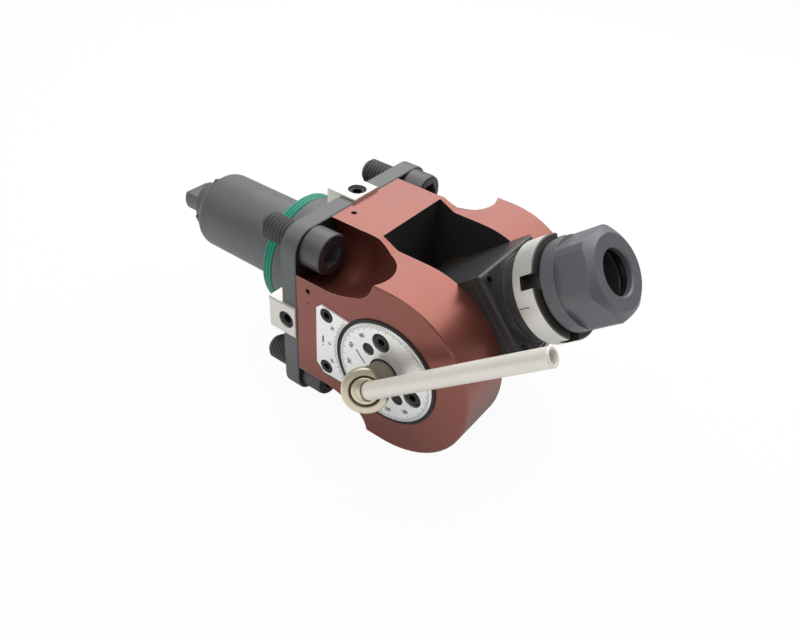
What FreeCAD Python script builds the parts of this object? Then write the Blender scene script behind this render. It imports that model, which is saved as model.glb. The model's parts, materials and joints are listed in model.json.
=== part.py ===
"""Angled driven tool holder with an adjustable head.

A steel flange with a centring collar and a long shank fits the turret. An
aluminium fork is screwed to its front and carries a tilting head, whose spindle
is driven from the shank through three bevel gears. A dial shows the tilt, and a
swivelling coolant tube stands on the dial.

Millimetres. The origin is the centre of the flange's rear face, where it meets
the turret. +X runs forward along the drive shaft, +Z is up, and the head tilts
about an axis parallel to Y. The dial and the coolant tube are on the -Y side.
"""
import FreeCAD, Part
import math
import os

os.makedirs("parts", exist_ok=True)

V = FreeCAD.Vector
ORIGIN = V(0, 0, 0)
X_AXIS = V(1, 0, 0)
Y_AXIS = V(0, 1, 0)
Z_AXIS = V(0, 0, 1)

# Fits and gaps
slide_gap = 0.05            # radial play of a running or screwed fit
face_gap = 0.2              # play between faces that turn past each other
wall_play = 0.15            # side play of the head between the cheeks

screw_edge = 0.4            # chamfer round a screw's head

# Flange
flange_width = 89.0
flange_height = 85.0
flange_thickness = 8.2
flange_corner_r = 10.0
edge_break = 0.5            # chamfer on the outer edges of flange and fork

# Centring collar, its seal and the shank
collar_r = 27.5
collar_length = 24.0
collar_chamfer = 0.8
seal_width = 5.0
seal_depth = 4.0
seal_groove = 0.6           # grooves round the seal's crown
shank_r = 19.25
shank_length = 84.0         # from the mounting face to the shank's end
shank_end_round = 4.5

# Mounting screws
screw_spacing_y = 66.0
screw_spacing_z = 66.0
screw_thread_r = 6.0
screw_shank_r = 6.25        # plain shank inside the flange
screw_hole_play = 0.25      # round the plain shank
screw_thread_gap = 0.5      # from the mounting face back to the thread
screw_head_r = 9.0
screw_head_length = 10.0
screw_socket_flats = 10.0
screw_socket_depth = 5.5
screw_reach = 17.0          # thread that stands out behind the flange

# Locating keys on the four sides of the flange
key_width = 15.7
key_depth = 10.0
key_stand = 1.2             # how far a key stands proud of the flange's edge
key_reach = 6.7             # how far a key reaches behind the mounting face
key_screw_x = 3.2
key_screw_head_r = 3.9
key_screw_head_length = 3.4
key_screw_sink = 0.9
key_screw_r = 2.5
key_screw_length = 11.0
key_screw_flats = 4.0

# Fork
block_height = 84.0
slot_wall_x = 32.65
slot_width = 39.8
pivot_x = 55.4
cheek_r = 38.5
ramp_end_x = 40.4
pocket_r = 14.0
pocket_floor_x = 24.5       # where the straight part of a screw pocket ends
pocket_run_x = 11.0         # the pocket then runs on, out towards the corner
pocket_run_y = 4.2
pocket_run_z = 6.9
fork_screw_y = 14.0
fork_screw_z = 34.5
fork_screw_r = 3.0
fork_screw_head_r = 5.0
fork_screw_head_length = 6.0
fork_screw_flats = 5.0
fork_screw_end_x = 26.0

# Small threaded ports with set screws
port_r = 1.3
port_depth = 3.0
port_sink = 0.6
port_flats = 1.3
top_port_x = 12.9
top_port_y = -13.8
side_port_x = 14.9
side_port_z = 19.8

# Head that tilts between the cheeks, on two separate trunnions
rest_tilt = 40.5            # spindle above the shank's axis, in degrees
head_height = 38.0
head_rear_r = 21.9
head_length = 40.8          # pivot to the front of the housing
gear_room_r = 16.8
gear_room_left = 10.4
gear_room_right = 15.0
window_width = 10.8
window_half_angle = 110.0
trunnion_r = 18.5
bush_wall = 2.0
spigot_r = 11.8             # spigot of the left trunnion inside the head's wall
spigot_length = 5.0
coolant_bore_r = 2.2
coolant_cross_y = 33.0
dial_seat_depth = 3.9       # of the left trunnion's end, from the fork's side
right_trunnion_end = 31.0

# Front cap, seal cover and spindle bearings
cap_thickness = 4.0
cap_chamfer = 0.8
cap_screw_y = 16.0
cap_screw_z = 15.4
cap_screw_r = 1.5
cap_screw_head_r = 2.6
cap_screw_head_length = 2.4
cap_screw_flats = 2.5
cap_screw_length = 12.0
cover_r = 18.0
cover_length = 8.4
cover_groove = 0.8
bearing_bore_r = 9.0
bearing_outer_r = 16.0
bearing_width = 8.0
bearing_inner_lip_r = 11.4
bearing_outer_lip_r = 13.6
bearing_start = 20.5
bearing_spacing = 2.3
cage_wall = 1.3
cage_width = 6.0
spindle_bore_play = 1.0     # round the spindle behind its bearings

# Spindle, nose ring and collet nut
spindle_r = 12.0
thread_r = 12.4
spindle_nose_length = 14.6  # from the nut's rear face to the spindle's front
socket_mouth_r = 10.4
socket_angle = 8.0
socket_depth = 28.0
socket_hole_r = 4.5
socket_hole_depth = 34.0
ring_gap = 0.8              # between the seal cover and the nose ring
ring_length = 9.8
ring_r = 20.5
ring_slot_width = 5.4
ring_slot_length = 5.8
ring_slot_depth = 4.5
ring_slots = 4
ring_slot_angle = 57.5      # of the first slot, from the head's top towards the dial
nut_gap = 0.6               # between the nose ring and the nut
nut_length = 21.2
nut_r = 17.85
nut_flats = 32.4
nut_round_length = 6.5
nut_bore_r = 8.8
nut_lip = 2.6
nut_front_r = 14.2
nut_front_chamfer = 2.6
extraction_ring_r = 11.4
extraction_ring_length = 2.9

# Bevel gears: both pinions mesh with the idler, and all three share the pivot
# as their apex
module = 1.1
pinion_teeth = 16
idler_teeth = 24
gear_face = 5.5
gear_backlash = 0.16
pinion_hub_r = 5.0
pinion_bore_r = 3.6
idler_hub_r = 9.5
idler_bore_r = 7.6
idler_back = 14.6

# Drive shaft and its bearings
shaft_r = 9.0
journal_r = 7.5
tang_width = 16.0
tang_thickness = 9.0
tang_length = 11.0
shaft_seal_r = 8.0
shaft_rear = 93.0           # shoulder behind the tang, behind the mounting face
rear_bearing_r = 14.0
rear_bearing_width = 7.0
rear_bearing_lip = 4.0
front_bearing_r = 16.0
front_bearing_width = 9.0
front_bearings = 2
shaft_bore_play = 1.0
front_seal_width = 4.0
front_seal_r = 12.5
end_nut_r = 13.5
end_nut_length = 8.0
end_nut_round = 2.2
end_nut_slot = 4.0
end_nut_slot_depth = 2.0
rear_seal_outer_r = 11.0
rear_seal_width = 4.5

# Idler axle and the cover that holds it on the right cheek
axle_r = 6.0
axle_inner_end = 7.4
axle_washer_r = 7.2
axle_washer_thickness = 1.3
cover_disc_r = 23.3
cover_disc_stand = 0.9
cover_spigot_r = 14.0
cover_screw_circle = 18.5
cover_screw_r = 2.0
cover_screw_head_r = 3.5
cover_screw_head_length = 3.0
cover_screw_length = 9.0
cover_screws = 4
small_flats = 3.0

# Dial on the left trunnion and the vernier plate beside it
dial_r = 22.6
dial_stand = 1.1            # of the dial's face, from the fork's side
dial_chamfer = 0.5
recess_r = 24.0
recess_depth = 4.2
dial_screw_circle = 14.9
dial_screw_angle = 58.0
dial_screw_head_r = 3.6
dial_screw_head_length = 3.6
dial_screw_r = 2.0
dial_screw_hold = 6.0       # how far the screws reach into the head
dowel_circle = 11.7
dowel_angle = 93.0
dowel_r = 2.5
dowel_length = 12.0
dowel_sink = 0.4
vernier_left_x = 20.2
vernier_half_height = 17.6
vernier_top_fall = 1.8      # how far the top edge falls towards the dial
vernier_top_chamfer = 2.4
vernier_low_chamfer = 4.0
vernier_gap = 0.2
vernier_thickness = 1.0
vernier_screw_x = 25.6
vernier_screw_z = 13.6
vernier_screw_head_r = 3.2
vernier_screw_head_length = 3.4
vernier_screw_r = 1.6
vernier_screw_length = 8.0
vernier_screw_sink = 0.1

# Coolant nozzle: a cup that turns on a fixed stub, with a tube brazed across it
nozzle_stub_r = 5.4
nozzle_stub_length = 7.8    # from the dial's face
nozzle_collar_r = 6.1
nozzle_collar_length = 3.8
nozzle_rear_r = 7.2         # the cup widens from here to its rim
nozzle_r = 11.6
nozzle_rim_length = 2.4
nozzle_reach = 12.4         # from the dial's face to the nozzle's
nozzle_chamfer = 0.9
nozzle_groove_inner_r = 6.6
nozzle_groove_outer_r = 8.6
nozzle_groove_depth = 1.2
dome_r = 5.0
snap_ring_half = 0.7        # half of the ring's square section
snap_ring_y = 51.4
tube_stand = 1.0            # of the tube's axis, from the nozzle's face
tube_tilt = 37.0
tube_lean = 6.5
tube_r = 3.6
tube_bore_r = 2.5
tube_start = 2.6
tube_end = 84.0


def line(a, b):
    """Return a straight edge."""
    return Part.LineSegment(a, b).toShape()


def arc(a, middle, b):
    """Return an arc edge through three points."""
    return Part.Arc(a, middle, b).toShape()


def face(edges):
    """Return the flat face inside a closed run of edges."""
    return Part.Face(Part.Wire(edges))


def turned(profile):
    """Turn a closed outline of (x, r) points about the X axis."""
    points = [V(x, 0, r) for x, r in profile]
    outline = Part.makePolygon(points + [points[0]])
    return Part.Face(outline).revolve(ORIGIN, X_AXIS, 360)


def rod(start, end, radius):
    """Return a solid rod along X."""
    return Part.makeCylinder(radius, end - start, V(start, 0, 0), X_AXIS)


def ring(start, end, inner, outer):
    """Return a plain ring along X."""
    return turned([(start, inner), (start, outer), (end, outer), (end, inner)])


def box(x0, x1, y0, y1, z0, z1):
    """Return a block between two corners."""
    return Part.makeBox(x1 - x0, y1 - y0, z1 - z0, V(x0, y0, z0))


def hex_rod(start, end, flats):
    """Return a hexagonal rod along X, with its width across flats."""
    r = flats / math.sqrt(3)
    corners = [V(start, r * math.cos(math.radians(60 * k)), r * math.sin(math.radians(60 * k)))
               for k in range(7)]
    return Part.Face(Part.makePolygon(corners)).extrude(V(end - start, 0, 0))


def facing(shape, direction, at=ORIGIN):
    """Turn a shape made along +X to face a direction, and move it."""
    placed = shape.copy()
    placed.Placement = FreeCAD.Placement(at, FreeCAD.Rotation(X_AXIS, direction))
    return placed


def tilted(shape):
    """Tilt a shape made about the untilted spindle axis to the rest tilt."""
    placed = shape.copy()
    placed.rotate(ORIGIN, Y_AXIS, -rest_tilt)
    placed.translate(V(pivot_x, 0, 0))
    return placed


def at_pivot(shape):
    """Move a shape made about the pivot to its place, without tilting it."""
    placed = shape.copy()
    placed.translate(V(pivot_x, 0, 0))
    return placed


def fused(shapes):
    """Join several shapes into one."""
    return shapes[0].fuse(shapes[1:]).removeSplitter()


def cap_screw(head_r, head_length, screw_r, thread_length, flats, socket=None):
    """Return a socket-head screw: head from 0 to +X, thread towards -X."""
    depth = head_length * 0.6 if socket is None else socket
    body = turned([(-thread_length, 0), (-thread_length, screw_r), (0, screw_r), (0, head_r),
                   (head_length - screw_edge, head_r), (head_length, head_r - screw_edge),
                   (head_length, 0)])
    return body.cut(hex_rod(head_length - depth, head_length + 1, flats))


def group(shapes):
    """Put separate solids into one node."""
    return Part.makeCompound([s for shape in shapes for s in shape.Solids])


def write(node, shape):
    """Check a node's solids and write its STEP file."""
    bad = [k for k, s in enumerate(shape.Solids) if not s.isValid() or s.Volume <= 0]
    if bad or not shape.Solids:
        raise RuntimeError(f"{node}: solids {bad} are not sound")
    out = shape.Solids[0] if len(shape.Solids) == 1 else group([shape])
    out.exportStep(f"parts/{node}.step")
    print(f"{node}: {len(shape.Solids)} solids, {shape.Volume / 1000:.2f} cm3")


# Values that follow from the sizes above
fork_width = flange_width   # the fork's sides are flush with the flange's
half_fork = fork_width / 2
left_trunnion_end = half_fork - dial_seat_depth
dial_face_y = half_fork + dial_stand
nozzle_stub_end = dial_face_y + nozzle_stub_length
nozzle_face_y = dial_face_y + nozzle_reach
tube_y = nozzle_face_y + tube_stand
half_slot = slot_width / 2
half_head = half_slot - wall_play
seal_rear = collar_length + seal_width
screw_places = [(sy * screw_spacing_y / 2, sz * screw_spacing_z / 2)
                for sy in (-1, 1) for sz in (-1, 1)]
fork_screw_places = [(sy * fork_screw_y, sz * fork_screw_z) for sy in (-1, 1) for sz in (-1, 1)]
bush_r = trunnion_r + slide_gap + bush_wall
recess_floor = half_fork - recess_depth
front_bearing_start = flange_thickness + 0.8
front_bearing_end = front_bearing_start + front_bearings * front_bearing_width
rear_bearing_end = shank_length - rear_bearing_lip
rear_bearing_start = rear_bearing_end - rear_bearing_width
cap_front = head_length + cap_thickness
ring_start = cap_front + cover_length + ring_gap
nut_start = ring_start + ring_length + nut_gap
spindle_front = nut_start + spindle_nose_length
bearing_starts = [bearing_start, bearing_start + bearing_width + bearing_spacing]
bearing_stop = bearing_starts[-1] + bearing_width
cone_length = module * math.hypot(pinion_teeth, idler_teeth) / 2
nozzle_rear_y = dial_face_y + nozzle_collar_length + face_gap


def key_frames():
    """Yield each key's outward direction and the flange's edge there."""
    yield V(0, 0, 1), flange_height / 2
    yield V(0, 0, -1), flange_height / 2
    yield V(0, 1, 0), flange_width / 2
    yield V(0, -1, 0), flange_width / 2


def key_block(edge, play=0.0):
    """Return a key at the top edge, or its slot when play is given."""
    half = key_width / 2 + play
    return box(-key_reach - play, flange_thickness + play, -half, half,
               edge + key_stand - key_depth, edge + key_stand + play)


def to_side(shape, direction):
    """Turn a shape made at the top edge to another side of the flange."""
    placed = shape.copy()
    angle = math.degrees(math.atan2(-direction.y, direction.z))
    placed.rotate(ORIGIN, X_AXIS, angle)
    return placed


def build_base_flange():
    """Flange, collar and shank, bored for the shaft and its rear bearing."""
    plate = box(0, flange_thickness, -flange_width / 2, flange_width / 2,
                -flange_height / 2, flange_height / 2)
    corners = [e for e in plate.Edges if abs(e.tangentAt(0).x) > 0.9]
    plate = plate.makeFillet(flange_corner_r, corners)
    rims = [e for e in plate.Edges if e.BoundBox.XLength < 0.01]
    plate = plate.makeChamfer(edge_break, rims)
    end = shank_length
    step = shank_end_round * (1 - math.sqrt(0.5))
    outline = [line(V(0.1, 0, 0), V(0.1, 0, collar_r)),
               line(V(0.1, 0, collar_r), V(-collar_length + collar_chamfer, 0, collar_r)),
               line(V(-collar_length + collar_chamfer, 0, collar_r),
                    V(-collar_length, 0, collar_r - collar_chamfer)),
               line(V(-collar_length, 0, collar_r - collar_chamfer),
                    V(-collar_length, 0, collar_r - seal_depth)),
               line(V(-collar_length, 0, collar_r - seal_depth),
                    V(-seal_rear, 0, collar_r - seal_depth)),
               line(V(-seal_rear, 0, collar_r - seal_depth), V(-seal_rear, 0, shank_r)),
               line(V(-seal_rear, 0, shank_r), V(-end + shank_end_round, 0, shank_r)),
               arc(V(-end + shank_end_round, 0, shank_r), V(-end + step, 0, shank_r - step),
                   V(-end, 0, shank_r - shank_end_round)),
               line(V(-end, 0, shank_r - shank_end_round), V(-end, 0, 0)),
               line(V(-end, 0, 0), V(0.1, 0, 0))]
    body = plate.fuse(face(outline).revolve(ORIGIN, X_AXIS, 360))
    cuts = [rod(-end - 1, flange_thickness + 1, shaft_r + shaft_bore_play),
            rod(-end - 1, -rear_bearing_start, rear_bearing_r)]
    for y, z in screw_places:
        hole = rod(-1, flange_thickness + 1, screw_shank_r + screw_hole_play)
        cuts.append(hole.translated(V(0, y, z)))
    for y, z in fork_screw_places:
        sink = rod(-1, fork_screw_head_length + 0.2, fork_screw_head_r + 0.3)
        hole = rod(-1, flange_thickness + 1, fork_screw_r + 0.2)
        cuts += [sink.translated(V(0, y, z)), hole.translated(V(0, y, z))]
    for direction, edge in key_frames():
        cuts.append(to_side(key_block(edge, 0.01), direction))
        depth = edge + key_stand - key_depth
        hole = Part.makeCylinder(key_screw_r, key_screw_length, V(key_screw_x, 0, depth), -Z_AXIS)
        cuts.append(to_side(hole, direction))
    return body.cut(cuts)


def build_collar_seal():
    """Ring seal at the rear of the collar, with a grooved crown."""
    bottom = collar_r - seal_depth
    top = collar_r
    groove = top - seal_groove
    x0, x1 = -seal_rear, -collar_length
    third = seal_width / 3
    return turned([(x0, bottom), (x0, top - 0.5), (x0 + 0.5, top), (x0 + third - 0.25, top),
                   (x0 + third, groove), (x0 + third + 0.25, top),
                   (x1 - third - 0.25, top), (x1 - third, groove), (x1 - third + 0.25, top),
                   (x1 - 0.5, top), (x1, top - 0.5), (x1, bottom)])


def capsule(start, end, radius):
    """Return the space a ball cutter leaves between two points."""
    run = end - start
    length = run.Length
    c = radius * math.sqrt(0.5)
    outline = [arc(V(-radius, 0, 0), V(-c, 0, c), V(0, 0, radius)),
               line(V(0, 0, radius), V(length, 0, radius)),
               arc(V(length, 0, radius), V(length + c, 0, c), V(length + radius, 0, 0)),
               line(V(length + radius, 0, 0), V(-radius, 0, 0))]
    return facing(face(outline).revolve(ORIGIN, X_AXIS, 360), run, start)


def build_fork_body():
    """Block and two round cheeks, with screw pockets, bores and recesses."""
    top = block_height / 2
    r = cheek_r
    ramp_top = V(slot_wall_x + 0.4, 0, top)
    edges = [line(V(flange_thickness, 0, -top), V(flange_thickness, 0, top)),
             line(V(flange_thickness, 0, top), ramp_top),
             line(ramp_top, V(ramp_end_x, 0, r)),
             line(V(ramp_end_x, 0, r), V(pivot_x, 0, r)),
             arc(V(pivot_x, 0, r), V(pivot_x + r, 0, 0), V(pivot_x, 0, -r)),
             line(V(pivot_x, 0, -r), V(ramp_end_x, 0, -r)),
             line(V(ramp_end_x, 0, -r), V(ramp_top.x, 0, -top)),
             line(V(ramp_top.x, 0, -top), V(flange_thickness, 0, -top))]
    body = face(edges).extrude(V(0, fork_width, 0)).translated(V(0, -half_fork, 0))
    body = body.makeChamfer(edge_break, [e for e in body.Edges if e.BoundBox.YLength < 0.01])
    cuts = [box(slot_wall_x, pivot_x + r + 1, -half_slot, half_slot, -top - 1, top + 1)]
    bore = Part.makeCylinder
    cuts.append(bore(bush_r, recess_floor + 1, V(pivot_x, 0, 0), -Y_AXIS))
    cuts.append(bore(bush_r, right_trunnion_end + 0.5, V(pivot_x, 0, 0), Y_AXIS))
    cuts.append(bore(cover_spigot_r, half_fork + 1, V(pivot_x, 0, 0), Y_AXIS))
    cuts.append(bore(recess_r, recess_depth + 1, V(pivot_x, -recess_floor, 0), -Y_AXIS))
    cuts.append(bore(recess_r, recess_depth + 1, V(pivot_x, recess_floor, 0), Y_AXIS))
    cuts.append(rod(flange_thickness - 1, front_bearing_end, front_bearing_r))
    cuts.append(rod(flange_thickness - 1, slot_wall_x + 1, front_seal_r))
    for y, z in fork_screw_places:
        cuts.append(rod(flange_thickness - 1, fork_screw_end_x, fork_screw_r).translated(V(0, y, z)))
    for k in range(cover_screws):
        a = math.radians(45 + 360 / cover_screws * k)
        at = V(pivot_x + cover_screw_circle * math.cos(a), recess_floor + 1,
               cover_screw_circle * math.sin(a))
        cuts.append(bore(cover_screw_r, cover_screw_length + 1, at, -Y_AXIS))
    for sz in (-1, 1):
        at = V(vernier_screw_x, -half_fork, sz * vernier_screw_z)
        sink = vernier_screw_head_length + vernier_screw_sink - vernier_thickness
        cuts.append(bore(vernier_screw_head_r + 0.1, sink + 1, at - Y_AXIS, Y_AXIS))
        cuts.append(bore(vernier_screw_r, vernier_screw_length + 3, at, Y_AXIS))
    cuts.append(bore(port_r, port_depth + 1, V(top_port_x, top_port_y, top + 1), -Z_AXIS))
    cuts.append(bore(port_r, port_depth + 1, V(side_port_x, -half_fork - 1, side_port_z), Y_AXIS))
    for y, z in screw_places:
        sy = math.copysign(1, y)
        sz = math.copysign(1, z)
        floor = V(pocket_floor_x, y, z)
        corner = floor + V(pocket_run_x, sy * pocket_run_y, sz * pocket_run_z)
        cuts.append(capsule(V(0, y, z), floor, pocket_r))
        cuts.append(capsule(floor, corner, pocket_r))
    body = max(body.cut(cuts).Solids, key=lambda solid: solid.Volume)
    return body.removeSplitter()


def build_mounting_screws():
    """The four screws that hold the flange to the turret."""
    screw = cap_screw(screw_head_r, screw_head_length, screw_thread_r,
                      flange_thickness + screw_reach, screw_socket_flats, screw_socket_depth)
    screw = fused([screw, rod(-flange_thickness - screw_thread_gap, 0.1, screw_shank_r)])
    return group([screw.translated(V(flange_thickness, y, z)) for y, z in screw_places])


def key_screw_seat(edge):
    """Height of the step that a key screw's head rests on, at the top key."""
    return edge + key_stand - key_screw_sink - key_screw_head_length


def build_locating_keys():
    """Keys let into the flange's edges, each with a counterbored hole."""
    keys = []
    for direction, edge in key_frames():
        key = key_block(edge)
        seat = key_screw_seat(edge)
        key = key.cut(Part.makeCylinder(key_screw_head_r + 0.15, key_depth, V(key_screw_x, 0, seat),
                                        Z_AXIS))
        key = key.cut(Part.makeCylinder(key_screw_r, key_depth + 1, V(key_screw_x, 0, seat + 0.5),
                                        -Z_AXIS))
        outer = [e for e in key.Edges if e.BoundBox.ZMin > edge + key_stand - 0.01
                 and e.Curve.TypeId == "Part::GeomLine"]
        keys.append(to_side(key.makeChamfer(0.4, outer), direction))
    return group(keys)


def build_key_screws():
    """One socket screw down through each key."""
    screws = []
    for direction, edge in key_frames():
        seat = key_screw_seat(edge)
        end = edge + key_stand - key_depth - key_screw_length + 0.5
        screw = cap_screw(key_screw_head_r, key_screw_head_length, key_screw_r, seat - end,
                          key_screw_flats)
        screws.append(to_side(facing(screw, Z_AXIS, V(key_screw_x, 0, seat)), direction))
    return group(screws)


def build_fork_fixing_screws():
    """Screws from the flange's rear face into the fork."""
    length = fork_screw_end_x - fork_screw_head_length - 0.5
    screw = cap_screw(fork_screw_head_r, fork_screw_head_length, fork_screw_r, length,
                      fork_screw_flats)
    screw = facing(screw, -X_AXIS)
    return group([screw.translated(V(fork_screw_head_length + 0.2, y, z))
                  for y, z in fork_screw_places])


def build_port_plugs():
    """Set screws in the top and side ports."""
    plug = rod(0, port_depth - port_sink, port_r)
    plug = plug.cut(hex_rod(port_depth - port_sink - 1.2, port_depth, port_flats))
    top = facing(plug, Z_AXIS, V(top_port_x, top_port_y, block_height / 2 - port_depth))
    side = facing(plug, -Y_AXIS, V(side_port_x, -half_fork + port_depth, side_port_z))
    return group([top, side])


def build_vernier_plate():
    """Thin plate beside the dial, hollowed to follow the dial's edge."""
    r = recess_r + vernier_gap
    h = vernier_half_height
    end = h - vernier_top_fall
    top, low = vernier_top_chamfer, vernier_low_chamfer
    left = vernier_left_x
    y = -half_fork
    corners = [V(pivot_x - math.sqrt(r * r - h * h), y, -h), V(left + low, y, -h),
               V(left, y, -h + low), V(left, y, h - top), V(left + top, y, h),
               V(pivot_x - math.sqrt(r * r - end * end), y, end)]
    edges = [line(a, b) for a, b in zip(corners, corners[1:])]
    edges.append(arc(corners[-1], V(pivot_x - r, y, 0), corners[0]))
    plate = face(edges).extrude(V(0, -vernier_thickness, 0))
    for sz in (-1, 1):
        plate = plate.cut(Part.makeCylinder(vernier_screw_head_r + 0.1, vernier_thickness + 2,
                                            V(vernier_screw_x, y + 1, sz * vernier_screw_z), -Y_AXIS))
    return plate


def build_vernier_screws():
    """Two flush screws through the vernier plate."""
    screw = cap_screw(vernier_screw_head_r, vernier_screw_head_length, vernier_screw_r,
                      vernier_screw_length, small_flats)
    seat = half_fork + vernier_thickness - vernier_screw_sink - vernier_screw_head_length
    return group([facing(screw, -Y_AXIS, V(vernier_screw_x, -seat, sz * vernier_screw_z))
                  for sz in (-1, 1)])


def build_dial_wiper_ring():
    """Thin ring that closes the gap round the dial."""
    wiper = ring(recess_floor, dial_face_y - dial_chamfer, dial_r + slide_gap, recess_r)
    return at_pivot(facing(wiper, -Y_AXIS))


def build_pivot_bushes():
    """Plain bushes in the cheeks, in which the head's trunnions turn."""
    inner = trunnion_r + slide_gap
    left = facing(ring(half_slot, recess_floor, inner, bush_r), -Y_AXIS)
    right = facing(ring(half_slot, right_trunnion_end + 0.5, inner, bush_r), Y_AXIS)
    return group([at_pivot(left), at_pivot(right)])


def build_right_cover():
    """Cover in the right cheek, which holds the idler's axle."""
    face_y = half_fork + cover_disc_stand
    start = right_trunnion_end + 0.5
    disc = turned([(start, axle_r), (start, cover_spigot_r), (recess_floor, cover_spigot_r),
                   (recess_floor, cover_disc_r), (face_y - 0.5, cover_disc_r),
                   (face_y, cover_disc_r - 0.5), (face_y, axle_r)])
    for k in range(cover_screws):
        a = math.radians(45 + 360 / cover_screws * k)
        y, z = cover_screw_circle * math.cos(a), cover_screw_circle * math.sin(a)
        head = rod(face_y - cover_screw_head_length, face_y + 1, cover_screw_head_r + 0.1)
        hole = rod(start, face_y + 1, cover_screw_r)
        disc = disc.cut([head.translated(V(0, y, z)), hole.translated(V(0, y, z))])
    return at_pivot(facing(disc, Y_AXIS))


def build_right_cover_screws():
    """Screws that hold the right cover."""
    face_y = half_fork + cover_disc_stand
    seat = face_y - cover_screw_head_length
    screw = cap_screw(cover_screw_head_r, cover_screw_head_length, cover_screw_r,
                      seat - recess_floor + cover_screw_length - 0.5, small_flats)
    screws = []
    for k in range(cover_screws):
        a = math.radians(45 + 360 / cover_screws * k)
        y, z = cover_screw_circle * math.cos(a), cover_screw_circle * math.sin(a)
        screws.append(screw.translated(V(seat, y, z)))
    return at_pivot(facing(group(screws), Y_AXIS))


def build_idler_axle():
    """Fixed axle of the idler gear, with the washer and screw on its end."""
    end = half_fork + cover_disc_stand
    axle = turned([(axle_inner_end, 2.0), (axle_inner_end, axle_r), (end - 0.4, axle_r),
                   (end, axle_r - 0.4), (end, 0), (axle_inner_end + 9, 0),
                   (axle_inner_end + 9, 2.0)])
    return at_pivot(facing(axle, Y_AXIS))


def build_idler_washer():
    """Washer that keeps the idler on its axle."""
    start = axle_inner_end - axle_washer_thickness
    return at_pivot(facing(ring(start, axle_inner_end, 2.0, axle_washer_r), Y_AXIS))


def build_idler_screw():
    """Low screw that holds the washer."""
    screw = cap_screw(3.4, 1.6, 2.0, axle_washer_thickness + 8.5, 2.0, 1.0)
    return at_pivot(facing(screw, -Y_AXIS, V(0, axle_inner_end - axle_washer_thickness, 0)))


def bearing_outer(start, width, outer_r, lip_r):
    """Outer ring of a shielded bearing: its shields reach almost to the inner ring."""
    shield = 0.8
    groove = lip_r + 0.45 * (outer_r - lip_r)
    return turned([(start, lip_r), (start, outer_r), (start + width, outer_r),
                   (start + width, lip_r), (start + width - shield, lip_r),
                   (start + width - shield, groove), (start + shield, groove),
                   (start + shield, lip_r)])


def drive_bearing_places():
    """Yield start, width and outer radius of each bearing on the drive shaft."""
    yield -rear_bearing_end, rear_bearing_width, rear_bearing_r
    for k in range(front_bearings):
        yield front_bearing_start + k * front_bearing_width, front_bearing_width, front_bearing_r


def drive_lip(outer_r):
    """Radius where the inner ring ends and the shields of the outer ring begin."""
    return journal_r + 0.4 * (outer_r - journal_r)


def build_drive_bearing_outers():
    """Outer rings of the three bearings on the drive shaft."""
    return group([bearing_outer(start, width, outer, drive_lip(outer) + face_gap)
                  for start, width, outer in drive_bearing_places()])


def build_drive_bearing_inners():
    """Inner rings of the three bearings on the drive shaft."""
    return group([ring(start, start + width, journal_r, drive_lip(outer))
                  for start, width, outer in drive_bearing_places()])


def build_front_shaft_seal():
    """Lip seal in the slot's rear wall, round the drive shaft."""
    start = slot_wall_x - front_seal_width - 0.4
    inner = journal_r - 1 + slide_gap
    return turned([(start, inner + 1), (start, front_seal_r),
                   (start + front_seal_width, front_seal_r),
                   (start + front_seal_width, inner), (start + front_seal_width - 1.2, inner)])


def build_shank_end_nut():
    """Screwed ring that closes the shank's end and holds the rear bearing."""
    seat = -rear_bearing_end
    end = -shank_length - end_nut_length
    c = end_nut_round * (1 - math.sqrt(0.5))
    bore = shaft_seal_r + 0.5
    seal_floor = end + rear_seal_width
    edges = [line(V(seat, 0, bore), V(seat, 0, rear_bearing_r)),
             line(V(seat, 0, rear_bearing_r), V(-shank_length, 0, rear_bearing_r)),
             line(V(-shank_length, 0, rear_bearing_r), V(-shank_length, 0, end_nut_r)),
             line(V(-shank_length, 0, end_nut_r), V(end + end_nut_round, 0, end_nut_r)),
             arc(V(end + end_nut_round, 0, end_nut_r), V(end + c, 0, end_nut_r - c),
                 V(end, 0, end_nut_r - end_nut_round)),
             line(V(end, 0, end_nut_r - end_nut_round), V(end, 0, rear_seal_outer_r)),
             line(V(end, 0, rear_seal_outer_r), V(seal_floor, 0, rear_seal_outer_r)),
             line(V(seal_floor, 0, rear_seal_outer_r), V(seal_floor, 0, bore)),
             line(V(seal_floor, 0, bore), V(seat, 0, bore))]
    nut = face(edges).revolve(ORIGIN, X_AXIS, 360)
    half = end_nut_slot / 2
    reach = end_nut_r + 1
    slot = box(end - 1, end + end_nut_slot, -half, half, end_nut_r - end_nut_slot_depth, reach)
    return nut.cut([slot.rotated(ORIGIN, X_AXIS, 90 * k) for k in range(4)])


def build_rear_shaft_seal():
    """Lip seal in the end nut."""
    end = -shank_length - end_nut_length
    inner = shaft_seal_r + slide_gap
    return turned([(end + 0.3, inner + 1.2), (end + 0.3, rear_seal_outer_r),
                   (end + rear_seal_width, rear_seal_outer_r),
                   (end + rear_seal_width, inner), (end + rear_seal_width - 1.2, inner)])


def pitch_cone(teeth, mate):
    """Half angle of a bevel gear's pitch cone."""
    return math.atan2(teeth, mate)


def involute(angle):
    """Involute function."""
    return math.tan(angle) - angle


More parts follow.
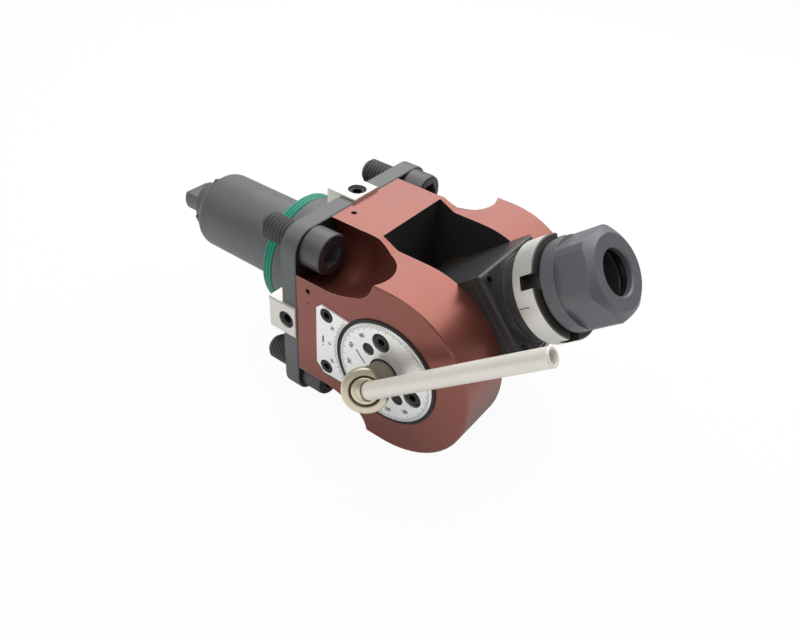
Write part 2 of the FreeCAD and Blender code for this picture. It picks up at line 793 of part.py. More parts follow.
def bevel_gear(teeth, mate, hub_r, hub_end, bore_r, phase):
    """Straight bevel gear about +X with its apex at the origin.

    The tooth gaps are wedges from the apex. Their flanks follow the involute of
    the gear's back cone at the root, the pitch line and the tip.
    """
    cone = pitch_cone(teeth, mate)
    sin, cos = math.sin(cone), math.cos(cone)
    pitch_r = cone_length * sin
    virtual_r = pitch_r / cos
    pressure = math.radians(20)
    base_r = virtual_r * math.cos(pressure)

    def on_back_cone(rise):
        return cone_length * cos - rise * sin, pitch_r + rise * cos

    def tooth_half_angle(rise):
        r = max(virtual_r + rise, base_r)
        flank = involute(pressure) - involute(math.acos(base_r / r))
        width = math.pi / (2 * virtual_r * 2 / module) - gear_backlash / (2 * virtual_r)
        return (width + flank) / cos

    keep = (cone_length - gear_face) / cone_length
    tip = on_back_cone(module)
    drop = (pitch_r - hub_r) / cos
    back = on_back_cone(-drop)
    small_tip = (tip[0] * keep, tip[1] * keep)
    inner_drop = (pitch_r * keep - bore_r - 0.8) / cos
    small_root = on_back_cone(0)[0] * keep + inner_drop * sin, bore_r + 0.8
    profile = [(small_root[0], bore_r), small_root, small_tip, tip, back, (hub_end, hub_r),
               (hub_end, bore_r)]
    if abs(hub_end - back[0]) < 0.01:
        profile.remove((hub_end, hub_r))
    blank = turned(profile)

    rises = [-1.25 * module, -0.3 * module, 0.3 * module, 1.2 * module]
    gap = []
    for rise in rises:
        along, radius = on_back_cone(rise)
        gap.append((radius / along, math.pi / teeth - tooth_half_angle(rise)))
    wedges = []
    reach = (cone_length * cos * 0.35, (cone_length * cos + module * 1.3 * sin) * 1.35)
    for k in range(teeth):
        middle = math.radians(phase) + 2 * math.pi * (k + 0.5) / teeth
        wires = []
        for along in reach:
            side = [(slope * along, middle + half) for slope, half in gap]
            other = [(slope * along, middle - half) for slope, half in reversed(gap)]
            points = [V(along, r * math.cos(a), r * math.sin(a)) for r, a in side + other]
            wires.append(Part.makePolygon(points + [points[0]]))
        wedges.append(Part.makeLoft(wires, True, True))
    return blank.cut(wedges)


def build_drive_gear():
    """Bevel pinion on the drive shaft."""
    hub_end = pivot_x - slot_wall_x + 1.0
    gear = bevel_gear(pinion_teeth, idler_teeth, pinion_hub_r, hub_end, pinion_bore_r, 0.0)
    return at_pivot(facing(gear, -X_AXIS))


def build_idler_gear():
    """Bevel idler on the pivot axis, in mesh with both pinions."""
    gear = bevel_gear(idler_teeth, pinion_teeth, idler_hub_r, idler_back, idler_bore_r,
                      180.0 / idler_teeth)
    return at_pivot(facing(gear, Y_AXIS))


def build_spindle_gear():
    """Bevel pinion on the spindle, turned so that it meshes at the rest tilt."""
    roll = rest_tilt * idler_teeth / pinion_teeth
    gear = bevel_gear(pinion_teeth, idler_teeth, pinion_hub_r, bearing_start - 3.5,
                      pinion_bore_r, -roll)
    return tilted(gear)


def build_drive_shaft():
    """Shaft with a two-flat driving tang at the rear and a gear seat in front."""
    front = slot_wall_x - 1.0
    seat_end = pivot_x - cone_length * 0.52
    body = turned([(-shaft_rear, 0), (-shaft_rear, shaft_seal_r - 0.5),
                   (-shaft_rear + 0.5, shaft_seal_r), (-rear_bearing_end, shaft_seal_r),
                   (-rear_bearing_end, journal_r), (-rear_bearing_start, journal_r),
                   (-rear_bearing_start, shaft_r), (front_bearing_start, shaft_r),
                   (front_bearing_start, journal_r), (front_bearing_end, journal_r),
                   (front_bearing_end, journal_r - 1), (front, journal_r - 1),
                   (front, pinion_bore_r), (seat_end, pinion_bore_r), (seat_end, 0)])
    tang = rod(-shaft_rear - tang_length, -shaft_rear + 1, tang_width / 2)
    half = tang_thickness / 2
    tang = tang.common(box(-shaft_rear - tang_length, -shaft_rear + 1, -tang_width, tang_width,
                           -half, half))
    return body.fuse(tang).removeSplitter()


def build_drive_gear_washer():
    """Cap that holds the pinion on the drive shaft."""
    end = pivot_x - cone_length * 0.52
    return turned([(end, 0), (end, pinion_bore_r + 0.5), (end + 0.8, pinion_bore_r + 0.5),
                   (end + 1.2, pinion_bore_r), (end + 1.2, 0)])


def build_idler_bush():
    """Bush of the idler gear."""
    return at_pivot(facing(ring(axle_inner_end + face_gap, idler_back, axle_r + slide_gap,
                                idler_bore_r), Y_AXIS))


def build_head_housing():
    """Housing of the gears and spindle bearings."""
    h = head_height / 2
    r = head_rear_r
    rear = -math.sqrt(r * r - h * h)
    edges = [arc(V(rear, 0, -h), V(-r, 0, 0), V(rear, 0, h)), line(V(rear, 0, h), V(head_length, 0, h)),
             line(V(head_length, 0, h), V(head_length, 0, -h)),
             line(V(head_length, 0, -h), V(rear, 0, -h))]
    body = face(edges).extrude(V(0, 2 * half_head, 0)).translated(V(0, -half_head, 0))
    room = Part.makeCylinder(gear_room_r, gear_room_left + half_head + 1,
                             V(0, -gear_room_left, 0), Y_AXIS)
    outer = head_rear_r + 6
    pane = Part.Face(Part.makePolygon([V(1, -window_width / 2, 0), V(outer, -window_width / 2, 0),
                                       V(outer, window_width / 2, 0), V(1, window_width / 2, 0),
                                       V(1, -window_width / 2, 0)]))
    pane.rotate(ORIGIN, Y_AXIS, -(180 - window_half_angle))
    window = pane.revolve(ORIGIN, Y_AXIS, -2 * window_half_angle)
    cuts = [room, window, rod(1, bearing_start + 1, bearing_inner_lip_r + spindle_bore_play),
            rod(bearing_start, head_length + 1, bearing_outer_r),
            Part.makeCylinder(spigot_r, spigot_length + 1, V(0, -half_head - 1, 0), Y_AXIS)]
    for a in (dial_screw_angle, -dial_screw_angle, 180):
        at = polar(dial_screw_circle, a)
        cuts.append(Part.makeCylinder(dial_screw_r, dial_screw_hold + 1,
                                      V(at.x, -half_head - 1, at.z), Y_AXIS))
    for y, z in cap_screw_places():
        cuts.append(rod(head_length - cap_screw_length, head_length + 1, cap_screw_r)
                    .translated(V(0, y, z)))
    return tilted(body.cut(cuts).removeSplitter())


def build_left_trunnion():
    """Trunnion that carries the dial, with the coolant's way through it."""
    body = turned([(half_head - spigot_length, 0), (half_head - spigot_length, spigot_r),
                   (half_head, spigot_r), (half_head, trunnion_r),
                   (left_trunnion_end, trunnion_r), (left_trunnion_end, 0)])
    body = facing(body, -Y_AXIS)
    cuts = [Part.makeCylinder(coolant_bore_r, left_trunnion_end - coolant_cross_y + 2,
                              V(0, -left_trunnion_end - 1, 0), Y_AXIS),
            Part.makeCylinder(coolant_bore_r, trunnion_r + 1, V(0, -coolant_cross_y, 0), Z_AXIS)]
    for a in (dial_screw_angle, -dial_screw_angle, 180):
        at = polar(dial_screw_circle, a) + V(0, -left_trunnion_end - 1, 0)
        cuts.append(Part.makeCylinder(dial_screw_r, left_trunnion_end, at, Y_AXIS))
    for a in (dowel_angle, -dowel_angle):
        at = polar(dowel_circle, a) + V(0, -left_trunnion_end, 0)
        cuts.append(Part.makeCylinder(dowel_r, dowel_length, at, Y_AXIS))
    return tilted(body.cut(cuts))


def polar(radius, degrees):
    """Return a point in the XZ plane."""
    a = math.radians(degrees)
    return V(radius * math.cos(a), 0, radius * math.sin(a))


def cap_screw_places():
    """Yield the (y, z) places of the front cap's screws."""
    for sy in (-1, 1):
        for sz in (-1, 1):
            yield sy * cap_screw_y, sz * cap_screw_z


def build_right_trunnion():
    """Hollow trunnion that closes the gear room on the right."""
    inner = axle_r + 2
    body = turned([(gear_room_right, inner), (gear_room_right, gear_room_r),
                   (half_head, gear_room_r), (half_head, trunnion_r),
                   (right_trunnion_end, trunnion_r), (right_trunnion_end, inner)])
    return tilted(facing(body, Y_AXIS))


def build_front_cap():
    """Square cap on the housing's front, with screws in its corners."""
    h = head_height / 2
    plate = box(head_length, cap_front, -half_head, half_head, -h, h)
    rim = [e for e in plate.Edges if e.BoundBox.XMin > cap_front - 0.01]
    plate = plate.makeChamfer(cap_chamfer, rim)
    plate = fused([plate, ring(bearing_stop, head_length + 0.1, bearing_outer_lip_r,
                               bearing_outer_r)])
    cuts = [rod(head_length - 1, cap_front + 1, spindle_r + face_gap)]
    for y, z in cap_screw_places():
        cuts.append(rod(cap_front - cap_screw_head_length + 0.4, cap_front + 1,
                        cap_screw_head_r + 0.1).translated(V(0, y, z)))
        cuts.append(rod(head_length - 1, cap_front + 1, cap_screw_r).translated(V(0, y, z)))
    return tilted(plate.cut(cuts))


def build_front_cap_screws():
    """Screws of the front cap."""
    seat = cap_front - cap_screw_head_length + 0.4
    screw = cap_screw(cap_screw_head_r, cap_screw_head_length, cap_screw_r,
                      seat - head_length + cap_screw_length - 0.5, cap_screw_flats)
    return tilted(group([screw.translated(V(seat, y, z)) for y, z in cap_screw_places()]))


def build_front_seal_cover():
    """Round cover in front of the cap, grooved, with room for the spindle seal."""
    inner = spindle_r + face_gap
    end = cap_front + cover_length
    middle = cap_front + cover_length / 2
    g = cover_groove
    body = turned([(cap_front, inner), (cap_front, cover_r), (middle - g, cover_r),
                   (middle - g, cover_r - g), (middle + g, cover_r - g), (middle + g, cover_r),
                   (end - 0.6, cover_r), (end, cover_r - 0.6), (end, inner), (end - 1.5, inner),
                   (end - 1.5, inner + 3), (cap_front + 1.5, inner + 3), (cap_front + 1.5, inner)])
    return tilted(body)


def build_spindle_seal():
    """Lip seal inside the seal cover."""
    start = cap_front + 1.5
    end = cap_front + cover_length - 1.5
    inner = spindle_r + slide_gap
    outer = spindle_r + face_gap + 3
    return tilted(turned([(start, outer - 1), (start, outer), (end, outer), (end, inner),
                          (end - 1.2, inner), (end - 1.8, outer - 1)]))


def build_spindle_bearing_outers():
    """Outer rings of the two spindle bearings."""
    return tilted(group([ring(start, start + bearing_width, bearing_outer_lip_r, bearing_outer_r)
                         for start in bearing_starts]))


def build_spindle_outer_spacer():
    """Spacer between the outer rings."""
    start = bearing_starts[0] + bearing_width
    return tilted(ring(start, start + bearing_spacing, bearing_outer_lip_r + 0.4, bearing_outer_r))


def build_spindle_bearing_inners():
    """Inner rings of the two spindle bearings."""
    return tilted(group([ring(start, start + bearing_width, bearing_bore_r, bearing_inner_lip_r)
                         for start in bearing_starts]))


def build_spindle_inner_spacer():
    """Spacer between the inner rings."""
    start = bearing_starts[0] + bearing_width
    return tilted(ring(start, start + bearing_spacing, bearing_bore_r, bearing_inner_lip_r - 0.4))


def build_spindle_bearing_cages():
    """Cages between the inner and outer rings, drawn plain, without the balls."""
    centre = (bearing_inner_lip_r + bearing_outer_lip_r) / 2
    edge = (bearing_width - cage_width) / 2
    return tilted(group([ring(start + edge, start + bearing_width - edge, centre - cage_wall / 2,
                              centre + cage_wall / 2)
                         for start in bearing_starts]))


def build_spindle():
    """Spindle with a collet socket in its nose and a gear seat at its rear."""
    rear = cone_length * 0.52
    socket_end = spindle_front - socket_depth
    socket_end_r = socket_mouth_r - socket_depth * math.tan(math.radians(socket_angle))
    hole_end = spindle_front - socket_hole_depth
    body = turned([(rear, 0), (rear, pinion_bore_r), (bearing_start - 3.5, pinion_bore_r),
                   (bearing_start - 3.5, bearing_bore_r), (bearing_stop, bearing_bore_r),
                   (bearing_stop, bearing_inner_lip_r), (head_length - 0.5, bearing_inner_lip_r),
                   (head_length - 0.5, spindle_r), (ring_start - 0.2, spindle_r),
                   (ring_start - 0.2, thread_r), (spindle_front - 0.6, thread_r),
                   (spindle_front, thread_r - 0.6), (spindle_front, socket_mouth_r),
                   (socket_end, socket_end_r), (socket_end, socket_hole_r),
                   (hole_end, socket_hole_r), (hole_end, 0)])
    return tilted(body)


def build_spindle_gear_washer():
    """Cap that holds the pinion on the spindle."""
    rear = cone_length * 0.52
    return tilted(turned([(rear, 0), (rear, pinion_bore_r + 0.5), (rear - 0.8, pinion_bore_r + 0.5),
                          (rear - 1.2, pinion_bore_r), (rear - 1.2, 0)]))


def build_spindle_nose_ring():
    """Bright ring with spanner slots, which holds the spindle still for the nut."""
    end = ring_start + ring_length
    body = turned([(ring_start, thread_r), (ring_start, ring_r - 0.8), (ring_start + 0.8, ring_r),
                   (end - 0.6, ring_r), (end, ring_r - 0.6), (end, thread_r)])
    half = ring_slot_width / 2
    slot = box(end - ring_slot_length, end + 1, -half, half, ring_r - ring_slot_depth, ring_r + 1)
    cuts = [slot.rotated(ORIGIN, X_AXIS, ring_slot_angle + 360 / ring_slots * k)
            for k in range(ring_slots)]
    return tilted(body.cut(cuts))


def build_collet_nut():
    """Nut with six flats, a plain rear band and a coned front."""
    end = nut_start + nut_length
    lip = end - nut_lip
    inner = thread_r + slide_gap
    ring_floor = lip - extraction_ring_length - 0.4
    body = turned([(nut_start, inner), (nut_start, nut_r - 0.8), (nut_start + 0.8, nut_r),
                   (end - nut_front_chamfer, nut_r), (end, nut_front_r), (end, nut_bore_r + 0.6),
                   (end - 0.6, nut_bore_r), (lip, nut_bore_r),
                   (lip, extraction_ring_r + slide_gap), (ring_floor, extraction_ring_r + slide_gap),
                   (ring_floor, inner)])
    band = rod(nut_start - 1, nut_start + nut_round_length, nut_r + 1)
    crown = turned([(nut_start + nut_round_length - 1, 0),
                    (nut_start + nut_round_length - 1, nut_flats / 2 + 0.2),
                    (nut_start + nut_round_length + 1.4, nut_r + 1), (end + 1, nut_r + 1),
                    (end + 1, 0)])
    flats = hex_rod(nut_start + nut_round_length - 1, end + 1, nut_flats).common(crown)
    return tilted(body.common(band.fuse(flats).fuse(
        rod(nut_start - 1, end + 1, nut_flats / 2))))


def build_extraction_ring():
    """Coned ring in the nut, which pushes and pulls the collet."""
    end = nut_start + nut_length - nut_lip
    start = end - extraction_ring_length
    return tilted(turned([(start, extraction_ring_r - 1.2), (start, extraction_ring_r),
                          (end - 0.1, extraction_ring_r), (end - 0.1, nut_bore_r + 0.3)]))


def build_dial():
    """Dial on the end of the left trunnion."""
    body = turned([(left_trunnion_end, nozzle_stub_r), (left_trunnion_end, dial_r),
                   (dial_face_y - dial_chamfer, dial_r), (dial_face_y, dial_r - dial_chamfer),
                   (dial_face_y, nozzle_stub_r)])
    body = facing(body, -Y_AXIS)
    cuts = []
    thickness = dial_face_y - left_trunnion_end
    through = thickness + 1
    for a in (dial_screw_angle, -dial_screw_angle, 180):
        at = polar(dial_screw_circle, a) + V(0, -left_trunnion_end, 0)
        seat = thickness - dial_screw_head_length - 0.3
        cuts.append(Part.makeCylinder(dial_screw_r, through, at, -Y_AXIS))
        cuts.append(Part.makeCylinder(dial_screw_head_r + 0.1, through, at - Y_AXIS * seat,
                                      -Y_AXIS))
    for a in (dowel_angle, -dowel_angle):
        at = polar(dowel_circle, a) + V(0, -left_trunnion_end, 0)
        cuts.append(Part.makeCylinder(dowel_r, through, at, -Y_AXIS))
    return tilted(body.cut(cuts))


def build_dial_screws():
    """Screws that clamp the dial to the trunnion."""
    seat = dial_face_y - dial_screw_head_length - 0.3
    screw = cap_screw(dial_screw_head_r, dial_screw_head_length, dial_screw_r,
                      seat - half_head + dial_screw_hold - 0.5, small_flats)
    screws = []
    for a in (dial_screw_angle, -dial_screw_angle, 180):
        screws.append(facing(screw, -Y_AXIS, polar(dial_screw_circle, a) + V(0, -seat, 0)))
    return tilted(group(screws))


def build_dial_dowels():
    """Dowels that set the dial to the head."""
    pins = []
    length = dial_face_y - dowel_sink - left_trunnion_end + dowel_length
    for a in (dowel_angle, -dowel_angle):
        start = V(0, -left_trunnion_end + dowel_length, 0)
        pins.append(Part.makeCylinder(dowel_r, length, polar(dowel_circle, a) + start, -Y_AXIS))
    return tilted(group(pins))


def snap_ring_space(play=0.0):
    """Return the snap ring, or its groove when play is given."""
    half = snap_ring_half + play
    return facing(ring(snap_ring_y - half, snap_ring_y + half, nozzle_stub_r - half,
                       nozzle_stub_r + half), -Y_AXIS)


def build_nozzle_socket():
    """Hollow stub in the dial's centre, on which the nozzle turns."""
    collar_end = dial_face_y + nozzle_collar_length
    body = turned([(left_trunnion_end, coolant_bore_r), (left_trunnion_end, nozzle_stub_r),
                   (dial_face_y, nozzle_stub_r), (dial_face_y, nozzle_collar_r),
                   (collar_end, nozzle_collar_r), (collar_end, nozzle_stub_r),
                   (nozzle_stub_end - 0.5, nozzle_stub_r), (nozzle_stub_end, nozzle_stub_r - 0.5),
                   (nozzle_stub_end, coolant_bore_r)])
    return tilted(facing(body, -Y_AXIS).cut(snap_ring_space(slide_gap)))


def along_tube(shape):
    """Turn a shape made along +X onto the tube's axis."""
    placed = shape.copy()
    placed.rotate(ORIGIN, Z_AXIS, tube_lean)
    placed.rotate(ORIGIN, Y_AXIS, -tube_tilt)
    placed.translate(V(pivot_x, -tube_y, 0))
    return placed


def build_nozzle_head():
    """Cup with a domed middle, grooved front and a seat for the tube."""
    bore = nozzle_stub_r + slide_gap
    floor = nozzle_stub_end + face_gap
    c = dome_r * math.sqrt(0.5)
    n = nozzle_face_y
    rim = n - nozzle_rim_length
    edges = [line(V(nozzle_rear_y, 0, bore), V(nozzle_rear_y, 0, nozzle_rear_r)),
             line(V(nozzle_rear_y, 0, nozzle_rear_r), V(rim, 0, nozzle_r)),
             line(V(rim, 0, nozzle_r), V(n - nozzle_chamfer, 0, nozzle_r)),
             line(V(n - nozzle_chamfer, 0, nozzle_r), V(n, 0, nozzle_r - nozzle_chamfer)),
             line(V(n, 0, nozzle_r - nozzle_chamfer), V(n, 0, nozzle_groove_outer_r)),
             line(V(n, 0, nozzle_groove_outer_r),
                  V(n - nozzle_groove_depth, 0, nozzle_groove_outer_r)),
             line(V(n - nozzle_groove_depth, 0, nozzle_groove_outer_r),
                  V(n - nozzle_groove_depth, 0, nozzle_groove_inner_r)),
             line(V(n - nozzle_groove_depth, 0, nozzle_groove_inner_r),
                  V(n, 0, nozzle_groove_inner_r)),
             line(V(n, 0, nozzle_groove_inner_r), V(n, 0, dome_r)),
             arc(V(n, 0, dome_r), V(n + c, 0, c), V(n + dome_r, 0, 0)),
             line(V(n + dome_r, 0, 0), V(floor, 0, 0)),
             line(V(floor, 0, 0), V(floor, 0, bore)),
             line(V(floor, 0, bore), V(nozzle_rear_y, 0, bore))]
    body = facing(face(edges).revolve(ORIGIN, X_AXIS, 360), -Y_AXIS)
    throat = facing(rod(floor - 1, tube_y, coolant_bore_r), -Y_AXIS)
    body = at_pivot(body.cut([throat, snap_ring_space(slide_gap)]))
    return body.cut([along_tube(rod(tube_start, tube_end, tube_r)),
                     along_tube(rod(-1, tube_start + 1, tube_bore_r))])


def build_nozzle_snap_ring():
    """Square ring that keeps the nozzle on its stub."""
    return at_pivot(snap_ring_space())


def build_nozzle_tube():
    """Straight coolant tube."""
    return along_tube(turned([(tube_start, tube_bore_r), (tube_start, tube_r),
                              (tube_end - 0.3, tube_r), (tube_end, tube_r - 0.3),
                              (tube_end, tube_bore_r)]))


NODES = {
    "base_flange": build_base_flange,
    "collar_seal": build_collar_seal,
    "fork_body": build_fork_body,
    "mounting_screws": build_mounting_screws,
    "locating_keys": build_locating_keys,
    "key_screws": build_key_screws,
    "fork_fixing_screws": build_fork_fixing_screws,
    "port_plugs": build_port_plugs,
    "vernier_plate": build_vernier_plate,
    "vernier_screws": build_vernier_screws,
    "dial_wiper_ring": build_dial_wiper_ring,
    "pivot_bushes": build_pivot_bushes,
    "right_cover": build_right_cover,
    "right_cover_screws": build_right_cover_screws,
    "idler_axle": build_idler_axle,
    "idler_washer": build_idler_washer,
    "idler_screw": build_idler_screw,
    "drive_bearing_outers": build_drive_bearing_outers,
    "front_shaft_seal": build_front_shaft_seal,
    "shank_end_nut": build_shank_end_nut,
    "rear_shaft_seal": build_rear_shaft_seal,
    "drive_shaft": build_drive_shaft,
    "drive_bearing_inners": build_drive_bearing_inners,
    "drive_gear": build_drive_gear,
    "drive_gear_washer": build_drive_gear_washer,
    "idler_gear": build_idler_gear,
    "idler_bush": build_idler_bush,
    "head_housing": build_head_housing,
    "left_trunnion": build_left_trunnion,
    "right_trunnion": build_right_trunnion,
    "front_cap": build_front_cap,
    "front_cap_screws": build_front_cap_screws,
    "front_seal_cover": build_front_seal_cover,
    "spindle_seal": build_spindle_seal,
    "spindle_bearing_outers": build_spindle_bearing_outers,
    "spindle_outer_spacer": build_spindle_outer_spacer,
    "spindle_bearing_cages": build_spindle_bearing_cages,
    "spindle": build_spindle,
    "spindle_bearing_inners": build_spindle_bearing_inners,
    "spindle_inner_spacer": build_spindle_inner_spacer,
    "spindle_gear": build_spindle_gear,
    "spindle_gear_washer": build_spindle_gear_washer,
    "spindle_nose_ring": build_spindle_nose_ring,
    "extraction_ring": build_extraction_ring,
    "collet_nut": build_collet_nut,
    "dial": build_dial,
    "dial_screws": build_dial_screws,
    "dial_dowels": build_dial_dowels,
    "nozzle_socket": build_nozzle_socket,
    "nozzle_head": build_nozzle_head,
    "nozzle_snap_ring": build_nozzle_snap_ring,
    "nozzle_tube": build_nozzle_tube,
}

for node_name, build in NODES.items():
    write(node_name, build())
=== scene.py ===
"""Dresses the angled driven tool holder: finishes, threads, scales, light and camera."""

import json
import logging
import math
from dataclasses import dataclass
from enum import Enum

import bpy
from mathutils import Matrix, Vector


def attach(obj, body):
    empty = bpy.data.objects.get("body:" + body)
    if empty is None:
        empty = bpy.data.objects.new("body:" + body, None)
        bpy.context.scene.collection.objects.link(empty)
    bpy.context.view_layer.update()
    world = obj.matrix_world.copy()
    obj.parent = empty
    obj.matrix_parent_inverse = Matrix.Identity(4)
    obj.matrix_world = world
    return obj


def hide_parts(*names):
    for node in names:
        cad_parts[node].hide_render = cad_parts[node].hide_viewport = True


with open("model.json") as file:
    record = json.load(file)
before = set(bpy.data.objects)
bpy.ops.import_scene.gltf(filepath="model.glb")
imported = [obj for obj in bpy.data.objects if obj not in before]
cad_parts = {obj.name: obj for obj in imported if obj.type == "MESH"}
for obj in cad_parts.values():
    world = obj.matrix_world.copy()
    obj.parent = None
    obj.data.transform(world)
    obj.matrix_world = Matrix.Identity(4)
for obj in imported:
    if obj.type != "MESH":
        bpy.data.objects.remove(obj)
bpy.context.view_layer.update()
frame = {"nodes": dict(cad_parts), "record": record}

LOG = logging.getLogger("tool_holder")
MM = 0.001
PIVOT = Vector((55.4 * MM, 0.0, 0.0))
REST_TILT = math.radians(40.5)
SPINDLE = Vector((math.cos(REST_TILT), 0.0, math.sin(REST_TILT)))
HEAD_TOP = Vector((-math.sin(REST_TILT), 0.0, math.cos(REST_TILT)))
DIAL_SIDE = Vector((0.0, -1.0, 0.0))

Colour = tuple[float, float, float, float]


# Shader expressions


class Signal:
    """A shader value or colour that Python expressions can work on."""

    def __init__(self, graph: "Graph", socket: bpy.types.NodeSocket) -> None:
        """Wraps one output socket of a graph."""
        self.graph = graph
        self.socket = socket

    def _math(self, operation: str, *values: object) -> "Signal":
        """Adds a Math node.

        Args:
            operation: The Math node's operation.
            values: The values or signals of its sockets, in order.

        Returns:
            The node's result.
        """
        return self.graph.node("ShaderNodeMath", {"operation": operation}, *values)

    def __add__(self, other: object) -> "Signal":
        """Sum of two signals."""
        return self._math("ADD", self, other)

    def __sub__(self, other: object) -> "Signal":
        """Difference of two signals."""
        return self._math("SUBTRACT", self, other)

    def __rsub__(self, other: object) -> "Signal":
        """Difference from a number on the left."""
        return self._math("SUBTRACT", other, self)

    def __mul__(self, other: object) -> "Signal":
        """Product of two signals."""
        return self._math("MULTIPLY", self, other)

    def size(self) -> "Signal":
        """The signal without its sign."""
        return self._math("ABSOLUTE", self)

    def clamped(self) -> "Signal":
        """The signal held between 0 and 1."""
        return self.graph.node("ShaderNodeClamp", {}, self)

    def between(self, low: float, high: float) -> "Signal":
        """Stretches a 0 to 1 signal to run from low to high."""
        return self * (high - low) + low

    def rising(self, low: float, high: float) -> "Signal":
        """Ramp of the signal, 0 at low and 1 at high."""
        return self.graph.node("ShaderNodeMapRange", {}, self, low, high, 0.0, 1.0)


class Graph:
    """The nodes of one material or of the world."""

    def __init__(self, tree: bpy.types.NodeTree) -> None:
        """Empties a node tree and keeps it."""
        self.tree = tree
        tree.nodes.clear()

    def node(self, kind: str, settings: dict[str, object], *values: object, out: int | str = 0,
             **named: object) -> Signal:
        """Adds any node.

        Args:
            kind: The node's type.
            settings: Its settings, which are set first.
            values: Values or signals of its sockets, in order.
            out: The output to return, by place or name.
            named: Values or signals of sockets by name, with _ for a space.

        Returns:
            The chosen output.
        """
        made = self.tree.nodes.new(kind)
        for name, value in settings.items():
            setattr(made, name, value)
        for index, value in enumerate(values):
            self.plug(made.inputs[index], value)
        for name, value in named.items():
            self.plug(made.inputs[name.replace("_", " ")], value)
        return Signal(self, made.outputs[out])

    def plug(self, socket: bpy.types.NodeSocket, value: object) -> None:
        """Links a signal to a socket, or sets its value."""
        if isinstance(value, Signal):
            self.tree.links.new(value.socket, socket)
        else:
            socket.default_value = value

    def finish(self, kind: str, shader: Signal) -> None:
        """Links a shader to the output of a material or world."""
        output = self.tree.nodes.new(kind)
        self.tree.links.new(shader.socket, output.inputs["Surface"])

    def coordinates(self) -> Signal:
        """Object coordinates."""
        return self.node("ShaderNodeTexCoord", {}, out="Object")

    def axes(self) -> tuple[Signal, Signal, Signal]:
        """Object coordinates, one signal for each axis."""
        parts = self.node("ShaderNodeSeparateXYZ", {}, self.coordinates())
        outputs = parts.socket.node.outputs
        return Signal(self, outputs[0]), Signal(self, outputs[1]), Signal(self, outputs[2])

    def noise(self, size: float, detail: float = 2.0) -> Signal:
        """Adds noise with patches of about a given size.

        Args:
            size: Size of a patch in metres.
            detail: Levels of finer noise.

        Returns:
            A signal from 0 to 1.
        """
        return self.node("ShaderNodeTexNoise", {}, Vector=self.coordinates(), Scale=1.0 / size,
                         Detail=detail)

    def mix(self, factor: object, first: object, second: object) -> Signal:
        """Mixes two colours.

        Args:
            factor: 0 for the first colour, 1 for the second.
            first: A colour or signal.
            second: A colour or signal.

        Returns:
            The mixed colour.
        """
        made = self.tree.nodes.new("ShaderNodeMix")
        made.data_type = "RGBA"
        self.plug(made.inputs[0], factor)
        self.plug(made.inputs[6], first)
        self.plug(made.inputs[7], second)
        return Signal(self, made.outputs[2])


# Finishes


EDGE = 0.05 * MM
WHITE = (1.0, 1.0, 1.0, 1.0)


@dataclass(frozen=True)
class Shade:
    """A darker colour on a part of a piece."""

    colour: Colour

    def mask(self, graph: Graph) -> Signal:
        """Finds the shaded part: 1 on it and 0 elsewhere."""
        raise NotImplementedError


@dataclass(frozen=True)
class SlotWalls(Shade):
    """The walls of the fork's slot, which are black in place of red-brown."""

    wall_x: float = 32.6 * MM
    half_width: float = 19.95 * MM
    edge: float = EDGE

    def mask(self, graph: Graph) -> Signal:
        """Finds the walls between the cheeks."""
        x, y, _ = graph.axes()
        ahead = x.rising(self.wall_x - self.edge, self.wall_x)
        return ahead * (1.0 - y.size().rising(self.half_width - self.edge, self.half_width))


@dataclass(frozen=True)
class FrontPlane(Shade):
    """All that lies in front of a plane across the shank."""

    x: float = 0.0
    edge: float = EDGE

    def mask(self, graph: Graph) -> Signal:
        """Finds what lies in front of the plane."""
        x, _, _ = graph.axes()
        return x.rising(self.x - self.edge, self.x)


@dataclass(frozen=True)
class DialSideNeck(Shade):
    """All that lies nearer to the dial than a plane across the tilt axis, painted darker as
    shade.
    """

    y: float = -53.0 * MM
    edge: float = 1.0 * MM

    def mask(self, graph: Graph) -> Signal:
        """Finds what lies between the dial and the plane."""
        _, y, _ = graph.axes()
        return y.rising(self.y - self.edge, self.y)


@dataclass(frozen=True)
class RingRecess(Shade):
    """The bright ring's spanner slots with painted shade, and its front face painted near the
    nut's dark tone.
    """

    radius: float = 20.2 * MM
    slots_start: float = 57.8 * MM
    front: float = 63.25 * MM
    front_share: float = 0.84
    edge: float = EDGE

    def mask(self, graph: Graph) -> Signal:
        """Finds the slots' walls and the front face."""
        place = graph.node("ShaderNodeVectorMath", {"operation": "SUBTRACT"},
                           graph.coordinates(), tuple(PIVOT))
        along = graph.node("ShaderNodeVectorMath", {"operation": "DOT_PRODUCT"}, place,
                           tuple(SPINDLE), out="Value")
        across = graph.node("ShaderNodeVectorMath", {"operation": "CROSS_PRODUCT"}, place,
                            tuple(SPINDLE))
        radius = graph.node("ShaderNodeVectorMath", {"operation": "LENGTH"}, across, out="Value")
        inside = 1.0 - radius.rising(self.radius - self.edge, self.radius)
        # Painted shade in the spanner slots.
        slots = along.rising(self.slots_start - self.edge, self.slots_start) * inside
        front = along.rising(self.front - self.edge, self.front)
        return (slots + front * self.front_share).clamped()


